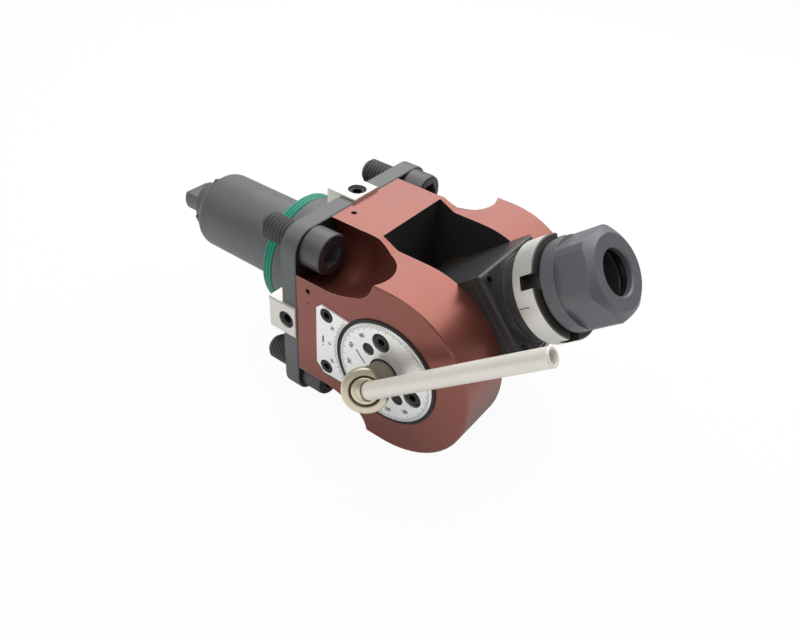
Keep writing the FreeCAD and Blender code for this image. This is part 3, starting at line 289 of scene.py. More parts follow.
@dataclass(frozen=True)
class Finish:
    """A metal, rubber or painted finish, with fine grain and edges of wear and painted highlight.
    """

    name: str
    colour: Colour
    tint: Colour
    metallic: float
    roughness: float
    patch: float = 0.012
    patch_share: float = 0.35
    roughness_play: float = 0.10
    grain: float = 0.00022
    grain_depth: float = 0.000006
    grain_strength: float = 0.6
    edge: Colour | None = None
    edge_width: float = 0.0004
    edge_share: float = 0.6
    round_edge: float = 0.00025
    worn_polish: float = 0.08
    wear_patch: float = 0.0015
    wear_spread: tuple[float, float] = (0.4, 1.6)
    wear_range: tuple[float, float] = (0.02, 0.12)
    patch_range: tuple[float, float] = (0.35, 0.7)
    rough_patch_share: float = 0.3
    coat: float = 0.0
    coat_roughness: float = 0.25
    shade: Shade | None = None

    def material(self) -> bpy.types.Material:
        """Builds the material.

        Returns:
            A new Blender material.
        """
        made = bpy.data.materials.new(self.name)
        made.use_nodes = True
        graph = Graph(made.node_tree)
        patches = graph.noise(self.patch, 3.0)
        tinted = patches.rising(*self.patch_range) * self.patch_share
        colour = graph.mix(tinted, self.colour, self.tint)
        play = self.roughness_play / 2
        rough = graph.noise(self.patch * self.rough_patch_share)
        roughness = rough.between(self.roughness - play, self.roughness + play)
        # Lighter edges: partly wear, partly a painted highlight.
        if self.edge is not None:
            wear_and_highlight = self._edge(graph)
            colour = graph.mix(wear_and_highlight, colour, self.edge)
            roughness = roughness - wear_and_highlight * self.worn_polish
        metallic = self.metallic
        if self.shade is not None:
            shaded = self.shade.mask(graph)
            colour = graph.mix(shaded, colour, self.shade.colour)
            metallic = (1.0 - shaded) * self.metallic
        grain = graph.noise(self.grain)
        rounded = graph.node("ShaderNodeBevel", {"samples": 6}, Radius=self.round_edge)
        bumped = graph.node("ShaderNodeBump", {}, Strength=self.grain_strength,
                            Distance=self.grain_depth, Height=grain, Normal=rounded)
        shader = graph.node("ShaderNodeBsdfPrincipled", {}, Base_Color=colour,
                            Metallic=metallic, Roughness=roughness, Normal=bumped,
                            Coat_Weight=self.coat, Coat_Roughness=self.coat_roughness)
        graph.finish("ShaderNodeOutputMaterial", shader)
        return made

    def _edge(self, graph: Graph) -> Signal:
        """Finds edges to paint lighter, partly wear and partly a painted highlight.

        Args:
            graph: The material's graph.

        Returns:
            A signal that is 1 on an edge and 0 away from it.
        """
        wide = graph.node("ShaderNodeBevel", {"samples": 8}, Radius=self.edge_width)
        flat = graph.node("ShaderNodeNewGeometry", {}, out="Normal")
        dot = graph.node("ShaderNodeVectorMath", {"operation": "DOT_PRODUCT"}, wide, flat,
                         out="Value")
        spread = graph.noise(self.wear_patch, 3.0).between(*self.wear_spread)
        return ((1.0 - dot) * spread).rising(*self.wear_range) * self.edge_share


class Finishes(Enum):
    """The holder's finishes."""

    ANODISED = Finish("anodised_red_brown", (0.275, 0.083, 0.060, 1), (0.240, 0.068, 0.048, 1),
                      0.65, 0.35, patch=0.03, edge=(0.52, 0.30, 0.25, 1), edge_width=0.0005,
                      grain_depth=0.000010, coat=0.28, shade=SlotWalls((0.034, 0.032, 0.032, 1)))
    BURNISHED = Finish("burnished_steel", (0.165, 0.168, 0.170, 1), (0.125, 0.128, 0.132, 1),
                       0.35, 0.52, edge=(0.30, 0.30, 0.31, 1))
    # Painted shade: the flange's front face, seen only in the fork's pockets, is near-black.
    FLANGE = Finish("burnished_flange", (0.165, 0.168, 0.170, 1), (0.125, 0.128, 0.132, 1),
                    0.35, 0.52, edge=(0.30, 0.30, 0.31, 1),
                    shade=FrontPlane((0.016, 0.016, 0.016, 1), x=8.15 * MM))
    BLACK_SCREW = Finish("black_oxide_screws", (0.013, 0.013, 0.014, 1), (0.020, 0.020, 0.021, 1),
                         0.2, 0.48, edge=(0.05, 0.05, 0.055, 1), edge_width=0.00025)
    # Painted shade: the screw heads' front faces, down in the fork's pockets, are near-black.
    MOUNTING_SCREW = Finish("phosphated_mounting_screws", (0.125, 0.126, 0.126, 1),
                            (0.095, 0.095, 0.096, 1), 0.3, 0.46, edge=(0.20, 0.20, 0.205, 1),
                            edge_width=0.00025,
                            shade=FrontPlane((0.018, 0.018, 0.018, 1), x=17.9 * MM))
    HEAD_BLACK = Finish("black_housing", (0.050, 0.051, 0.051, 1), (0.066, 0.067, 0.067, 1),
                        0.25, 0.40, edge=(0.22, 0.22, 0.225, 1))
    NUT = Finish("blue_black_nut", (0.165, 0.170, 0.184, 1), (0.120, 0.125, 0.140, 1),
                 0.35, 0.45, edge=(0.28, 0.28, 0.29, 1))
    BORE = Finish("bright_bore", (0.30, 0.30, 0.31, 1), (0.20, 0.20, 0.205, 1), 0.9, 0.22)
    # The ring's spanner slots get painted shade; its front face takes nearly the nut's dark tone.
    BRIGHT_RING = Finish("bright_turned_ring", (0.84, 0.83, 0.79, 1), (0.72, 0.70, 0.66, 1),
                         0.70, 0.36, grain=0.0003, grain_depth=0.00001,
                         shade=RingRecess((0.040, 0.036, 0.032, 1)))
    NICKEL_KEYS = Finish("nickel_keys", (0.74, 0.72, 0.67, 1), (0.58, 0.56, 0.51, 1), 0.70, 0.36)
    DIAL = Finish("satin_dial", (0.97, 0.97, 0.955, 1), (0.95, 0.95, 0.935, 1), 0.60, 0.34,
                  roughness_play=0.04, grain=0.0006, grain_depth=0.000001)
    # Painted shade: the neck and the cup's back, between the dial and the cup, are a darker gold.
    GOLD = Finish("golden_nickel", (0.80, 0.72, 0.56, 1), (0.70, 0.61, 0.45, 1), 0.70, 0.34,
                  patch=0.006, roughness_play=0.03, grain=0.0008, grain_depth=0.000001,
                  shade=DialSideNeck((0.20, 0.165, 0.125, 1)))
    # Painted shade for the nozzle's groove and the gap round the tube, a darkened gold.
    OLIVE = Finish("painted_groove_shade", (0.085, 0.070, 0.030, 1), (0.060, 0.050, 0.022, 1), 0.2,
                   0.5)
    TUBE = Finish("champagne_tube", (0.98, 0.94, 0.855, 1), (0.95, 0.905, 0.81, 1), 0.30, 0.36,
                  roughness_play=0.02, grain=0.0008, grain_depth=0.0000005)
    SEAL_GREEN = Finish("green_seal", (0.020, 0.33, 0.220, 1), (0.016, 0.24, 0.165, 1), 0.0, 0.42)
    SEAL_BLACK = Finish("black_rubber", (0.012, 0.012, 0.012, 1), (0.022, 0.022, 0.022, 1), 0.0,
                        0.6)
    BRONZE = Finish("bearing_bronze", (0.50, 0.30, 0.12, 1), (0.38, 0.22, 0.09, 1), 0.9, 0.35)
    GROUND = Finish("ground_steel", (0.52, 0.52, 0.53, 1), (0.42, 0.42, 0.43, 1), 0.9, 0.28)
    # Black for engraved marks and for rings of painted shade.
    MARKS = Finish("engraving_and_shade_black", (0.012, 0.012, 0.012, 1), (0.02, 0.02, 0.02, 1), 0.0, 0.6)


FINISH_OF_SLOT = {
    "burnished_steel": Finishes.BURNISHED,
    "anodised_body": Finishes.ANODISED,
    "seal_green": Finishes.SEAL_GREEN,
    "black_screws": Finishes.BLACK_SCREW,
    "bright_keys": Finishes.NICKEL_KEYS,
    "dial_metal": Finishes.DIAL,
    "bronze": Finishes.BRONZE,
    "head_black": Finishes.HEAD_BLACK,
    "cover_steel": Finishes.HEAD_BLACK,
    "bearing_steel": Finishes.GROUND,
    "gear_steel": Finishes.GROUND,
    "seal_rubber": Finishes.SEAL_BLACK,
    "ring_steel": Finishes.BRIGHT_RING,
    "nut_steel": Finishes.NUT,
    "nozzle_gold": Finishes.GOLD,
    "tube_nickel": Finishes.TUBE,
}

FINISH_OF_NODE = {
    "base_flange": Finishes.FLANGE,
    "extraction_ring": Finishes.BORE,
    "spindle": Finishes.BORE,
}


class Paint:
    """Makes each finish once and puts it on pieces."""

    def __init__(self) -> None:
        """Starts with no material made."""
        self.made: dict[Finishes, bpy.types.Material] = {}

    def coat(self, piece: bpy.types.Object, finish: Finishes) -> None:
        """Puts a finish on a piece.

        Args:
            piece: The piece to dress.
            finish: The finish to put on it.
        """
        if finish not in self.made:
            self.made[finish] = finish.value.material()
        piece.data.materials.clear()
        piece.data.materials.append(self.made[finish])

    def dress_frame(self) -> None:
        """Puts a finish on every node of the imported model."""
        slots = {row["node"]: row["material_slot"] for row in frame["record"]["subparts"]}
        for name, node in frame["nodes"].items():
            self.coat(node, FINISH_OF_NODE.get(name, FINISH_OF_SLOT[slots[name]]))
        LOG.info("%d nodes dressed", len(slots))


# Modelling


class Workbench:
    """Edit-mode steps that the pieces are made with."""

    @staticmethod
    def clear() -> None:
        """Leaves edit mode and deselects everything."""
        if bpy.context.object and bpy.context.object.mode != "OBJECT":
            bpy.ops.object.mode_set(mode="OBJECT")
        bpy.ops.object.select_all(action="DESELECT")

    @staticmethod
    def turn(name: str, outline: list[tuple[float, float]], steps: int) -> bpy.types.Object:
        """Spins an outline of (x, r) points about the X axis.

        Args:
            name: Name of the piece.
            outline: Points from one end of the axis to the other, in metres.
            steps: Faces round the axis.

        Returns:
            The closed piece.
        """
        Workbench.clear()
        bpy.ops.mesh.primitive_plane_add(size=0.001, location=(0, 0, 0))
        piece = bpy.context.object
        piece.name = name
        bpy.ops.object.mode_set(mode="EDIT")
        bpy.ops.mesh.select_all(action="SELECT")
        bpy.ops.mesh.merge(type="CENTER")
        bpy.ops.transform.translate(value=(outline[0][0], 0, outline[0][1]))
        for (x0, r0), (x1, r1) in zip(outline, outline[1:]):
            bpy.ops.mesh.extrude_region_move(
                TRANSFORM_OT_translate={"value": (x1 - x0, 0, r1 - r0)})
        bpy.ops.mesh.select_all(action="SELECT")
        bpy.ops.mesh.spin(steps=steps, angle=math.tau, center=(0, 0, 0), axis=(1, 0, 0))
        bpy.ops.mesh.select_all(action="SELECT")
        bpy.ops.mesh.remove_doubles(threshold=1e-6)
        bpy.ops.mesh.normals_make_consistent(inside=False)
        bpy.ops.object.mode_set(mode="OBJECT")
        return piece

    @staticmethod
    def cut(piece: bpy.types.Object, cutter: bpy.types.Object) -> None:
        """Cuts one piece out of another and removes the cutter."""
        Workbench.clear()
        bpy.context.view_layer.objects.active = piece
        piece.select_set(True)
        modifier = piece.modifiers.new("cut", "BOOLEAN")
        modifier.operation = "DIFFERENCE"
        modifier.solver = "EXACT"
        modifier.object = cutter
        bpy.ops.object.modifier_apply(modifier=modifier.name)
        bpy.data.objects.remove(cutter)

    @staticmethod
    def smooth(piece: bpy.types.Object, degrees: float = 30.0) -> None:
        """Shades a piece smooth but for edges sharper than an angle."""
        Workbench.clear()
        piece.select_set(True)
        bpy.context.view_layer.objects.active = piece
        bpy.ops.object.shade_smooth_by_angle(angle=math.radians(degrees))

    @staticmethod
    def place(piece: bpy.types.Object, matrix: Matrix) -> None:
        """Moves a piece's mesh and leaves its object at the origin."""
        piece.data.transform(matrix @ piece.matrix_world)
        piece.matrix_world = Matrix.Identity(4)

    @staticmethod
    def join(pieces: list[bpy.types.Object], name: str) -> bpy.types.Object:
        """Joins pieces into one.

        Args:
            pieces: The pieces to join.
            name: Name of the whole.

        Returns:
            The joined piece.
        """
        Workbench.clear()
        for piece in pieces:
            piece.select_set(True)
        bpy.context.view_layer.objects.active = pieces[0]
        if len(pieces) > 1:
            bpy.ops.object.join()
        pieces[0].name = name
        return pieces[0]

    @staticmethod
    def copy(piece: bpy.types.Object) -> bpy.types.Object:
        """Copies a piece with its own mesh."""
        made = piece.copy()
        made.data = piece.data.copy()
        bpy.context.scene.collection.objects.link(made)
        return made


@dataclass
class MountingScrews:
    """The four big socket screws, with knurled heads and threaded ends."""

    paint: Paint
    spread_y: float = 33.0 * MM
    spread_z: float = 33.0 * MM
    seat: float = 8.2 * MM
    head_r: float = 9.0 * MM
    head_length: float = 10.0 * MM
    shank_r: float = 6.25 * MM
    thread_r: float = 6.0 * MM
    thread_start: float = -0.5 * MM
    pitch: float = 1.75 * MM
    tip: float = -17.0 * MM
    socket_r: float = 5.77 * MM
    socket_depth: float = 5.5 * MM
    knurls: int = 72
    knurl_scale: float = 0.972
    knurl_low: float = 0.8 * MM
    knurl_high: float = 1.0 * MM
    thread_depth: float = 0.61
    crest: tuple[float, float] = (0.45, 0.57)
    tip_chamfer: float = 0.2 * MM
    tip_length: float = 0.9 * MM
    seat_chamfer: float = 0.2 * MM
    band_low: float = 1.2 * MM
    band_high: float = 1.4 * MM
    crown: tuple[float, float] = (0.5 * MM, 0.25 * MM)
    crown_r: float = 1.0 * MM

    def build(self) -> None:
        """Makes one screw, copies it to the four corners and dresses the set."""
        screw = Workbench.turn("mounting_screw", self._outline(), self.knurls)
        self._knurl(screw)
        self._socket(screw)
        copies = []
        for y in (-self.spread_y, self.spread_y):
            for z in (-self.spread_z, self.spread_z):
                made = Workbench.copy(screw)
                Workbench.place(made, Matrix.Translation((0, y, z)))
                copies.append(made)
        bpy.data.objects.remove(screw)
        whole = Workbench.join(copies, "mounting_screws_threaded")
        Workbench.smooth(whole)
        self.paint.coat(whole, Finishes.MOUNTING_SCREW)
        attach(whole, "base")
        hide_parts("mounting_screws")
        LOG.info("piece %s", whole.name)

    def _outline(self) -> list[tuple[float, float]]:
        """Outline of a screw from its tip to its head.

        Returns:
            Points as (x, r), in metres.
        """
        root = self.thread_r - self.thread_depth * self.pitch
        points = [(self.tip, 0.0), (self.tip, root - self.tip_chamfer)]
        x = self.tip + self.tip_length
        while x + self.pitch < self.thread_start:
            points.append((x, root))
            points += [(x + share * self.pitch, self.thread_r) for share in self.crest]
            x += self.pitch
        top = self.seat + self.head_length
        return points + [(x, root), (self.thread_start, root), (self.thread_start, self.shank_r),
                         (self.seat, self.shank_r), (self.seat, self.head_r - self.seat_chamfer),
                         (self.seat + self.seat_chamfer, self.head_r),
                         (self.seat + self.band_low, self.head_r),
                         (top - self.band_high, self.head_r),
                         (top - self.crown[0], self.head_r - self.crown[1]),
                         (top, self.head_r - self.crown_r), (top, 0.0)]

    def _knurl(self, screw: bpy.types.Object) -> None:
        """Draws every second edge of the head's side inwards."""
        Workbench.clear()
        bpy.context.view_layer.objects.active = screw
        bpy.ops.object.mode_set(mode="EDIT")
        bpy.ops.mesh.select_all(action="DESELECT")
        bpy.ops.object.mode_set(mode="OBJECT")
        low = self.seat + self.knurl_low
        high = self.seat + self.head_length - self.knurl_high
        step = math.tau / self.knurls
        for vertex in screw.data.vertices:
            x, y, z = vertex.co
            index = round(math.atan2(z, y) / step)
            if low < x < high and math.hypot(y, z) > self.head_r - 0.1 * MM and index % 2:
                vertex.select = True
        bpy.ops.object.mode_set(mode="EDIT")
        bpy.ops.transform.resize(value=(1.0, self.knurl_scale, self.knurl_scale),
                                 center_override=(0.0, 0.0, 0.0))
        bpy.ops.object.mode_set(mode="OBJECT")

    def _socket(self, screw: bpy.types.Object) -> None:
        """Cuts the hexagon socket."""
        top = self.seat + self.head_length
        Workbench.clear()
        bpy.ops.mesh.primitive_cylinder_add(vertices=6, radius=self.socket_r,
                                            depth=2 * self.socket_depth,
                                            location=(top, 0, 0), rotation=(0, math.pi / 2, 0))
        Workbench.cut(screw, bpy.context.object)


@dataclass
class NozzleElbow:
    """The coolant nozzle's head: a neck, and a round cup turned halfway towards the tube."""

    paint: Paint
    groove: tuple[float, float] = (5.6 * MM, 6.4 * MM)
    groove_depth: float = 1.0 * MM
    root_gap: tuple[float, float] = (3.5 * MM, 3.98 * MM)
    root_gap_at: float = 2.9 * MM
    face: tuple[float, float, float] = (0.1 * MM, -57.25 * MM, -0.9 * MM)
    cup_turn: float = 0.72
    tube_y: float = 59.0 * MM
    tube_tilt: float = math.radians(37.0)
    tube_lean: float = math.radians(6.5)
    neck: tuple[float, float] = (49.6 * MM, 52.0 * MM)
    neck_r: float = 6.9 * MM
    neck_chamfer: float = 0.4 * MM
    sharp: float = 40.0
    steps: int = 64

    def build(self) -> None:
        """Makes the neck, the cup and the tube's root as one piece."""
        tube = Vector((math.cos(self.tube_lean) * math.cos(self.tube_tilt),
                       math.sin(self.tube_lean),
                       math.cos(self.tube_lean) * math.sin(self.tube_tilt)))
        aim = (DIAL_SIDE + tube * self.cup_turn).normalized()
        parts = [self._turned("nozzle_cup", self._cup(), PIVOT + Vector(self.face), aim),
                 self._turned("nozzle_root", self._root(),
                              PIVOT + DIAL_SIDE * self.tube_y, tube),
                 self._turned("nozzle_neck", self._neck(), PIVOT, DIAL_SIDE)]
        whole = Workbench.join(parts, "nozzle_elbow")
        Workbench.smooth(whole, self.sharp)
        self.paint.coat(whole, Finishes.GOLD)
        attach(whole, "nozzle")
        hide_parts("nozzle_head")
        LOG.info("piece %s", whole.name)
        self._shadows(aim, tube)

    def _shadows(self, aim: Vector, tube: Vector) -> None:
        """Makes painted shade at the bottoms of the cup's groove and of the gap round the tube.

        Args:
            aim: The way the cup faces.
            tube: Direction of the tube.
        """
        engraver = Engraver()
        face = PIVOT + Vector(self.face) - aim * self.groove_depth
        root = PIVOT + DIAL_SIDE * self.tube_y + tube * self.root_gap_at
        marks = [engraver.rim(engraver.at(face, aim.orthogonal().normalized(), aim),
                              *self.groove),
                 engraver.rim(engraver.at(root, tube.orthogonal().normalized(), tube),
                              *self.root_gap)]
        engraver.finish(self.paint, marks, "nozzle_groove_shade", "nozzle", "nozzle_gold",
                        Finishes.OLIVE)

    def _turned(self, name: str, outline: list[tuple[float, float]], origin: Vector,
                axis: Vector) -> bpy.types.Object:
        """Turns an outline about an axis.

        Args:
            name: Name of the part.
            outline: Points as (distance along the axis, radius), in millimetres.
            origin: Where the distances start.
            axis: The axis' direction.

        Returns:
            The part at its place.
        """
        part = Workbench.turn(name, [(x * MM, r * MM) for x, r in outline], self.steps)
        turn = axis.to_track_quat("X", "Z").to_matrix().to_4x4()
        Workbench.place(part, Matrix.Translation(origin) @ turn)
        return part

    def _neck(self) -> list[tuple[float, float]]:
        """Outline of the neck, from the dial outwards."""
        start, end = (value / MM for value in self.neck)
        r, chamfer = self.neck_r / MM, self.neck_chamfer / MM
        return [(start, 0.0), (start, r - chamfer), (start + chamfer, r), (end, r), (end, 0.0)]

    def _cup(self) -> list[tuple[float, float]]:
        """Outline of the cup, from its rounded back to its grooved face."""
        return [(-9.6, 0.0), (-9.2, 2.6), (-8.4, 4.4), (-7.0, 6.0), (-5.2, 7.3), (-3.7, 8.5),
                (-2.8, 9.3), (-2.2, 9.6), (-1.0, 9.6), (-0.35, 9.3), (-0.1, 8.9), (0.0, 6.7),
                (-0.25, 6.5), (-1.1, 6.4), (-1.1, 5.6), (-0.25, 5.5), (0.0, 5.2), (0.15, 4.0),
                (0.2, 0.0)]

    def _root(self) -> list[tuple[float, float]]:
        """Outline of the rounded root that the tube comes out of."""
        return [(-1.9, 0.0), (-1.7, 1.4), (-0.9, 2.7), (0.0, 3.4), (0.6, 3.6), (3.1, 3.62),
                (3.9, 3.62), (3.9, 0.0)]


class Engraver:
    """Makes dark marks, engraved lines and rings of painted shade, which stand a hair above their
    face.
    """

    stand = 0.03 * MM
    dot_sides = 24
    rim_sides = 48
    cutter_height = 1.0 * MM
    boldness = 0.02

    @staticmethod
    def at(centre: Vector, along: Vector, normal: Vector) -> Matrix:
        """Place of a mark.

        Args:
            centre: The mark's middle on the face.
            along: Direction of the mark, its local X.
            normal: Direction out of the face, its local Z.

        Returns:
            The place as a matrix.
        """
        basis = Matrix((along, normal.cross(along), normal)).transposed().to_4x4()
        return Matrix.Translation(centre) @ basis

    def line(self, place: Matrix, length: float, width: float) -> bpy.types.Object:
        """Makes a straight mark."""
        Workbench.clear()
        bpy.ops.mesh.primitive_cube_add(size=1.0)
        piece = bpy.context.object
        bpy.ops.object.mode_set(mode="EDIT")
        bpy.ops.transform.resize(value=(length, width, 2 * self.stand))
        bpy.ops.object.mode_set(mode="OBJECT")
        Workbench.place(piece, place)
        return piece

    def dot(self, place: Matrix, radius: float) -> bpy.types.Object:
        """Makes a round mark."""
        Workbench.clear()
        bpy.ops.mesh.primitive_cylinder_add(vertices=self.dot_sides, radius=radius,
                                            depth=2 * self.stand)
        piece = bpy.context.object
        Workbench.place(piece, place)
        return piece

    def rim(self, place: Matrix, inner: float, outer: float) -> bpy.types.Object:
        """Makes a flat ring of painted shade, as in the sink of a screw."""
        Workbench.clear()
        bpy.ops.mesh.primitive_cylinder_add(vertices=self.rim_sides, radius=outer,
                                            depth=2 * self.stand)
        piece = bpy.context.object
        bpy.ops.mesh.primitive_cylinder_add(vertices=self.rim_sides, radius=inner,
                                            depth=self.cutter_height)
        Workbench.cut(piece, bpy.context.object)
        Workbench.place(piece, place)
        return piece

    def number(self, place: Matrix, value: int, size: float) -> bpy.types.Object:
        """Makes a number whose top points along the place's local X."""
        Workbench.clear()
        bpy.ops.object.text_add()
        text = bpy.context.object
        text.data.body = str(value)
        text.data.size = size
        text.data.align_x = "CENTER"
        text.data.align_y = "CENTER"
        text.data.extrude = self.stand
        text.data.offset = self.boldness * size
        bpy.ops.object.convert(target="MESH")
        piece = bpy.context.object
        Workbench.place(piece, place @ Matrix.Rotation(-math.pi / 2, 4, "Z"))
        return piece

    def finish(self, paint: Paint, marks: list[bpy.types.Object], name: str, body: str,
               slot: str, look: Finishes = Finishes.MARKS) -> None:
        """Joins marks into one piece, dresses it and hangs it on its body."""
        whole = Workbench.join(marks, name)
        paint.coat(whole, look)
        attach(whole, body)
        LOG.info("piece %s", whole.name)


@dataclass
class RoundScale(Engraver):
    """A scale of radial lines and numbers about the pivot, on the dial's side."""

    face_y: float
    offset: float = 0.0

    def spot(self, degrees: float, radius: float) -> Matrix:
        """Place of a mark at an angle and radius, facing outwards."""
        a = math.radians(degrees) + self.offset
        out = Vector((math.cos(a), 0, math.sin(a)))
        centre = PIVOT + out * radius
        centre.y = self.face_y
        return self.at(centre, out, DIAL_SIDE)

    def tick(self, degrees: float, inner: float, outer: float, width: float) -> bpy.types.Object:
        """Makes one division line between two radii."""
        return self.line(self.spot(degrees, (inner + outer) / 2), outer - inner, width)


@dataclass
class DialScale:
    """Division lines, numbers and an index line engraved on the dial, and rings of painted shade
    round its screws, pins and the neck.
    """

    paint: Paint
    face_y: float = -45.6 * MM
    rim_r: float = 21.9 * MM
    short: float = 1.1 * MM
    long: float = 2.0 * MM
    line_width: float = 0.16 * MM
    number_r: float = 17.6 * MM
    number_size: float = 2.7 * MM
    numbered: tuple[int, ...] = (-150, -120, -90, 90, 120, 150, 180)
    step: int = 2
    long_every: int = 10
    index_from: tuple[float, float] = (-14.1 * MM, 4.9 * MM)
    index_to: tuple[float, float] = (-9.4 * MM, 0.2 * MM)
    index_width: float = 0.55 * MM
    screw_circle: float = 14.9 * MM
    screw_angles: tuple[float, ...] = (-58.0, 58.0, 180.0)
    screw_sink: tuple[float, float] = (3.65 * MM, 4.15 * MM)
    pin_circle: float = 11.7 * MM
    pin_angles: tuple[float, ...] = (-93.0, 93.0)
    pin_sink: tuple[float, float] = (2.45 * MM, 2.8 * MM)
    neck_gap: tuple[float, float] = (6.15 * MM, 7.1 * MM)

    def build(self) -> None:
        """Makes the lines, numbers and rings of painted shade and dresses them."""
        scale = RoundScale(self.face_y, REST_TILT)
        marks = []
        for angle in range(-180, 180, self.step):
            length = self.long if angle % self.long_every == 0 else self.short
            marks.append(scale.tick(angle, self.rim_r - length, self.rim_r, self.line_width))
        for angle in self.numbered:
            marks.append(scale.number(scale.spot(angle, self.number_r), 180 - abs(angle),
                                      self.number_size))
        marks.append(self._index(scale))
        # Rings of painted shade in the screws' and pins' sinks, and painted shadow round the
        # neck.
        marks += [scale.rim(scale.spot(angle, self.screw_circle), *self.screw_sink)
                  for angle in self.screw_angles]
        marks += [scale.rim(scale.spot(angle, self.pin_circle), *self.pin_sink)
                  for angle in self.pin_angles]
        marks.append(scale.rim(scale.spot(0.0, 0.0), *self.neck_gap))
        scale.finish(self.paint, marks, "dial_scale_and_shade", "head", "dial_metal")

    def _index(self, scale: RoundScale) -> bpy.types.Object:
        """Makes the short line inside the numbers."""
        start = PIVOT + Vector((self.index_from[0], self.face_y, self.index_from[1]))
        end = PIVOT + Vector((self.index_to[0], self.face_y, self.index_to[1]))
        along = (end - start).normalized()
        return scale.line(scale.at((start + end) / 2, along, DIAL_SIDE), (end - start).length,
                          self.index_width)


@dataclass
class VernierScale:
    """The scale on the plate beside the dial, and the dot on the fork's side."""

    paint: Paint
    face_y: float = -45.5 * MM
    inner_r: float = 24.4 * MM
    short: float = 1.1 * MM
    long: float = 1.8 * MM
    line_width: float = 0.16 * MM
    step: float = 1.5
    half_steps: int = 24
    long_every: int = 4
    number_every: int = 12
    number_step: int = 30
    number_r: float = 28.0 * MM
    number_size: float = 2.2 * MM
    bar: tuple[float, float] = (-31.6 * MM, 0.6 * MM)
    bar_length: float = 3.6 * MM
    bar_width: float = 0.7 * MM
    dot_gap: float = 1.3 * MM
    side_dot: tuple[float, float, float] = (14.8 * MM, -44.5 * MM, 13.9 * MM)
    side_dot_r: float = 0.5 * MM

    def build(self) -> None:
        """Makes the plate's marks and the dot on the fork."""
        scale = RoundScale(self.face_y)
        marks = []
        for k in range(-self.half_steps, self.half_steps + 1):
            length = self.long if k % self.long_every == 0 else self.short
            marks.append(scale.tick(180 + k * self.step, self.inner_r, self.inner_r + length,
                                    self.line_width))
        for k in (-1, 0, 1):
            spot = scale.spot(180 + k * self.number_every * self.step, self.number_r)
            marks.append(scale.number(spot, abs(k) * self.number_step, self.number_size))
        bar = PIVOT + Vector((self.bar[0], self.face_y, self.bar[1]))
        upward = Vector((0, 0, 1))
        marks.append(scale.line(scale.at(bar, upward, DIAL_SIDE), self.bar_length,
                                self.bar_width))
        below = bar - upward * (self.bar_length / 2 + self.dot_gap)
        marks.append(scale.dot(scale.at(below, upward, DIAL_SIDE), self.bar_width / 2))
        scale.finish(self.paint, marks, "vernier_scale", "base", "dial_metal")
        side = scale.dot(scale.at(Vector(self.side_dot), upward, DIAL_SIDE), self.side_dot_r)
        scale.finish(self.paint, [side], "fork_side_dot", "base", "anodised_body")


@dataclass
class NoseRingLine:
    """The fine line engraved along the bright ring behind the nut."""

    paint: Paint
    radius: float = 20.5 * MM
    start: float = 54.9 * MM
    end: float = 59.6 * MM
    angle: float = 82.5
    width: float = 0.3 * MM

    def build(self) -> None:
        """Makes the line and hangs it on the spindle."""
        a = math.radians(self.angle)
        out = HEAD_TOP * math.cos(a) + DIAL_SIDE * math.sin(a)
        centre = PIVOT + SPINDLE * ((self.start + self.end) / 2) + out * self.radius
        engraver = Engraver()
        mark = engraver.line(engraver.at(centre, SPINDLE, out), self.end - self.start,
                             self.width)
        engraver.finish(self.paint, [mark], "nose_ring_line", "spindle", "ring_steel")


# Light and camera


@dataclass(frozen=True)
class Lamp:
    """One softbox, in metres and watts."""

    name: str
    place: tuple[float, float, float]
    width: float
    height: float
    power: float


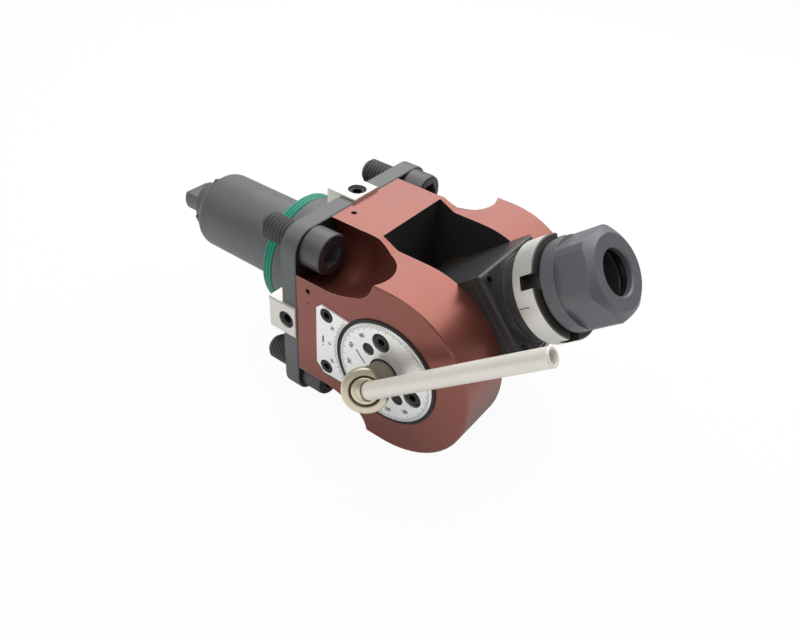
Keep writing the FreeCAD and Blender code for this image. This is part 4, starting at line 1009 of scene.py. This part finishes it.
@dataclass
class Studio:
    """Floor, soft lights and the camera."""

    floor_z: float = -46.0 * MM
    world: float = 0.26
    azimuth: float = 34.23
    elevation: float = 38.55
    roll: float = 4.30
    offset: tuple[float, float, float] = (-23.34 * MM, 23.05 * MM, 347.84 * MM)
    lens: float = 33.69
    sensor_width: float = 36.0
    clip: tuple[float, float] = (0.01, 20.0)
    lamp_aim: tuple[float, float, float] = (30.0 * MM, 0.0, 0.0)
    floor_size: float = 6.0
    floor_colour: Colour = (0.92, 0.92, 0.92, 1)
    floor_white: float = 0.95
    floor_near: float = 0.25
    shade_centre: tuple[float, float, float] = (45.0 * MM, 0.0, 0.0)
    shade_start: float = 40.0 * MM
    shade_end: float = 108.0 * MM
    lamps: tuple[Lamp, ...] = (Lamp("back_softbox", (-0.06, 0.46, 0.52), 1.00, 0.60, 4.7),
                               Lamp("overhead", (-0.10, -0.25, 0.90), 0.90, 0.90, 4.4))

    def build(self) -> None:
        """Makes the floor, lights and camera."""
        self._floor()
        self._world()
        for lamp in self.lamps:
            self._lamp(lamp)
        self._camera()
        bpy.context.scene.view_settings.view_transform = "Standard"

    def _axes(self) -> tuple[Vector, Vector, Vector]:
        """Right, up and backward directions of the camera."""
        a, e, r = (math.radians(v) for v in (self.azimuth, self.elevation, self.roll))
        back = Vector((math.sin(a) * math.cos(e), -math.cos(a) * math.cos(e), math.sin(e)))
        right = Vector((math.cos(a), math.sin(a), 0))
        up = back.cross(right)
        return (math.cos(r) * right + math.sin(r) * up, -math.sin(r) * right + math.cos(r) * up,
                back)

    def _camera(self) -> None:
        """Makes the camera at the photograph's angle."""
        right, up, back = self._axes()
        data = bpy.data.cameras.new("photo_camera")
        data.lens = self.lens
        data.sensor_width = self.sensor_width
        data.sensor_fit = "HORIZONTAL"
        data.clip_start, data.clip_end = self.clip
        camera = bpy.data.objects.new("photo_camera", data)
        basis = Matrix((right, up, back)).transposed().to_4x4()
        place = -right * self.offset[0] - up * self.offset[1] + back * self.offset[2]
        camera.matrix_world = Matrix.Translation(place) @ basis
        bpy.context.scene.collection.objects.link(camera)
        bpy.context.scene.camera = camera

    def _lamp(self, lamp: Lamp) -> None:
        """Adds one soft lamp that faces the object."""
        data = bpy.data.lights.new(lamp.name, "AREA")
        data.shape = "RECTANGLE"
        data.size = lamp.width
        data.size_y = lamp.height
        data.energy = lamp.power
        made = bpy.data.objects.new(lamp.name, data)
        aim = Vector(self.lamp_aim) - Vector(lamp.place)
        turn = aim.to_track_quat("-Z", "Y").to_matrix().to_4x4()
        made.matrix_world = Matrix.Translation(lamp.place) @ turn
        bpy.context.scene.collection.objects.link(made)

    def _world(self) -> None:
        """Makes a dim grey world that the camera sees as white."""
        world = bpy.data.worlds.new("studio")
        bpy.context.scene.world = world
        world.use_nodes = True
        graph = Graph(world.node_tree)
        seen = graph.node("ShaderNodeLightPath", {}, out="Is Camera Ray")
        background = graph.node("ShaderNodeBackground", {}, Color=WHITE,
                                Strength=seen.between(self.world, 1.0))
        graph.finish("ShaderNodeOutputWorld", background)

    def _floor(self) -> None:
        """Makes the pale floor.

        The camera sees it as white with a faint shadow. Mirrored rays see it white far from the
        holder and dimmer close by, as its soft shade is.
        """
        Workbench.clear()
        bpy.ops.mesh.primitive_plane_add(size=self.floor_size, location=(0, 0, self.floor_z))
        floor = bpy.context.object
        floor.name = "floor"
        made = bpy.data.materials.new("pale_floor")
        made.use_nodes = True
        graph = Graph(made.node_tree)
        seen = graph.node("ShaderNodeLightPath", {}, out="Is Camera Ray")
        mirrored = graph.node("ShaderNodeLightPath", {}, out="Is Glossy Ray")
        pale = graph.node("ShaderNodeBsdfDiffuse", {}, Color=self.floor_colour)
        away = graph.node("ShaderNodeVectorMath", {"operation": "DISTANCE"},
                          graph.coordinates(), self.shade_centre, out="Value")
        shine = away.rising(self.shade_start, self.shade_end)
        near = (self.floor_near, self.floor_near, self.floor_near, 1)
        shone = graph.mix(mirrored, WHITE, graph.mix(shine, near, WHITE))
        white = graph.node("ShaderNodeEmission", {}, Color=shone, Strength=1.0)
        share = (seen * self.floor_white + mirrored).clamped()
        graph.finish("ShaderNodeOutputMaterial",
                     graph.node("ShaderNodeMixShader", {}, share, pale, white))
        floor.data.materials.append(made)


def main() -> None:
    """Builds and dresses the holder, then the studio."""
    logging.basicConfig(level=logging.INFO, format="%(message)s")
    Workbench.clear()
    paint = Paint()
    paint.dress_frame()
    MountingScrews(paint).build()
    NozzleElbow(paint).build()
    DialScale(paint).build()
    VernierScale(paint).build()
    NoseRingLine(paint).build()
    Studio().build()


if __name__ == "__main__":
    main()
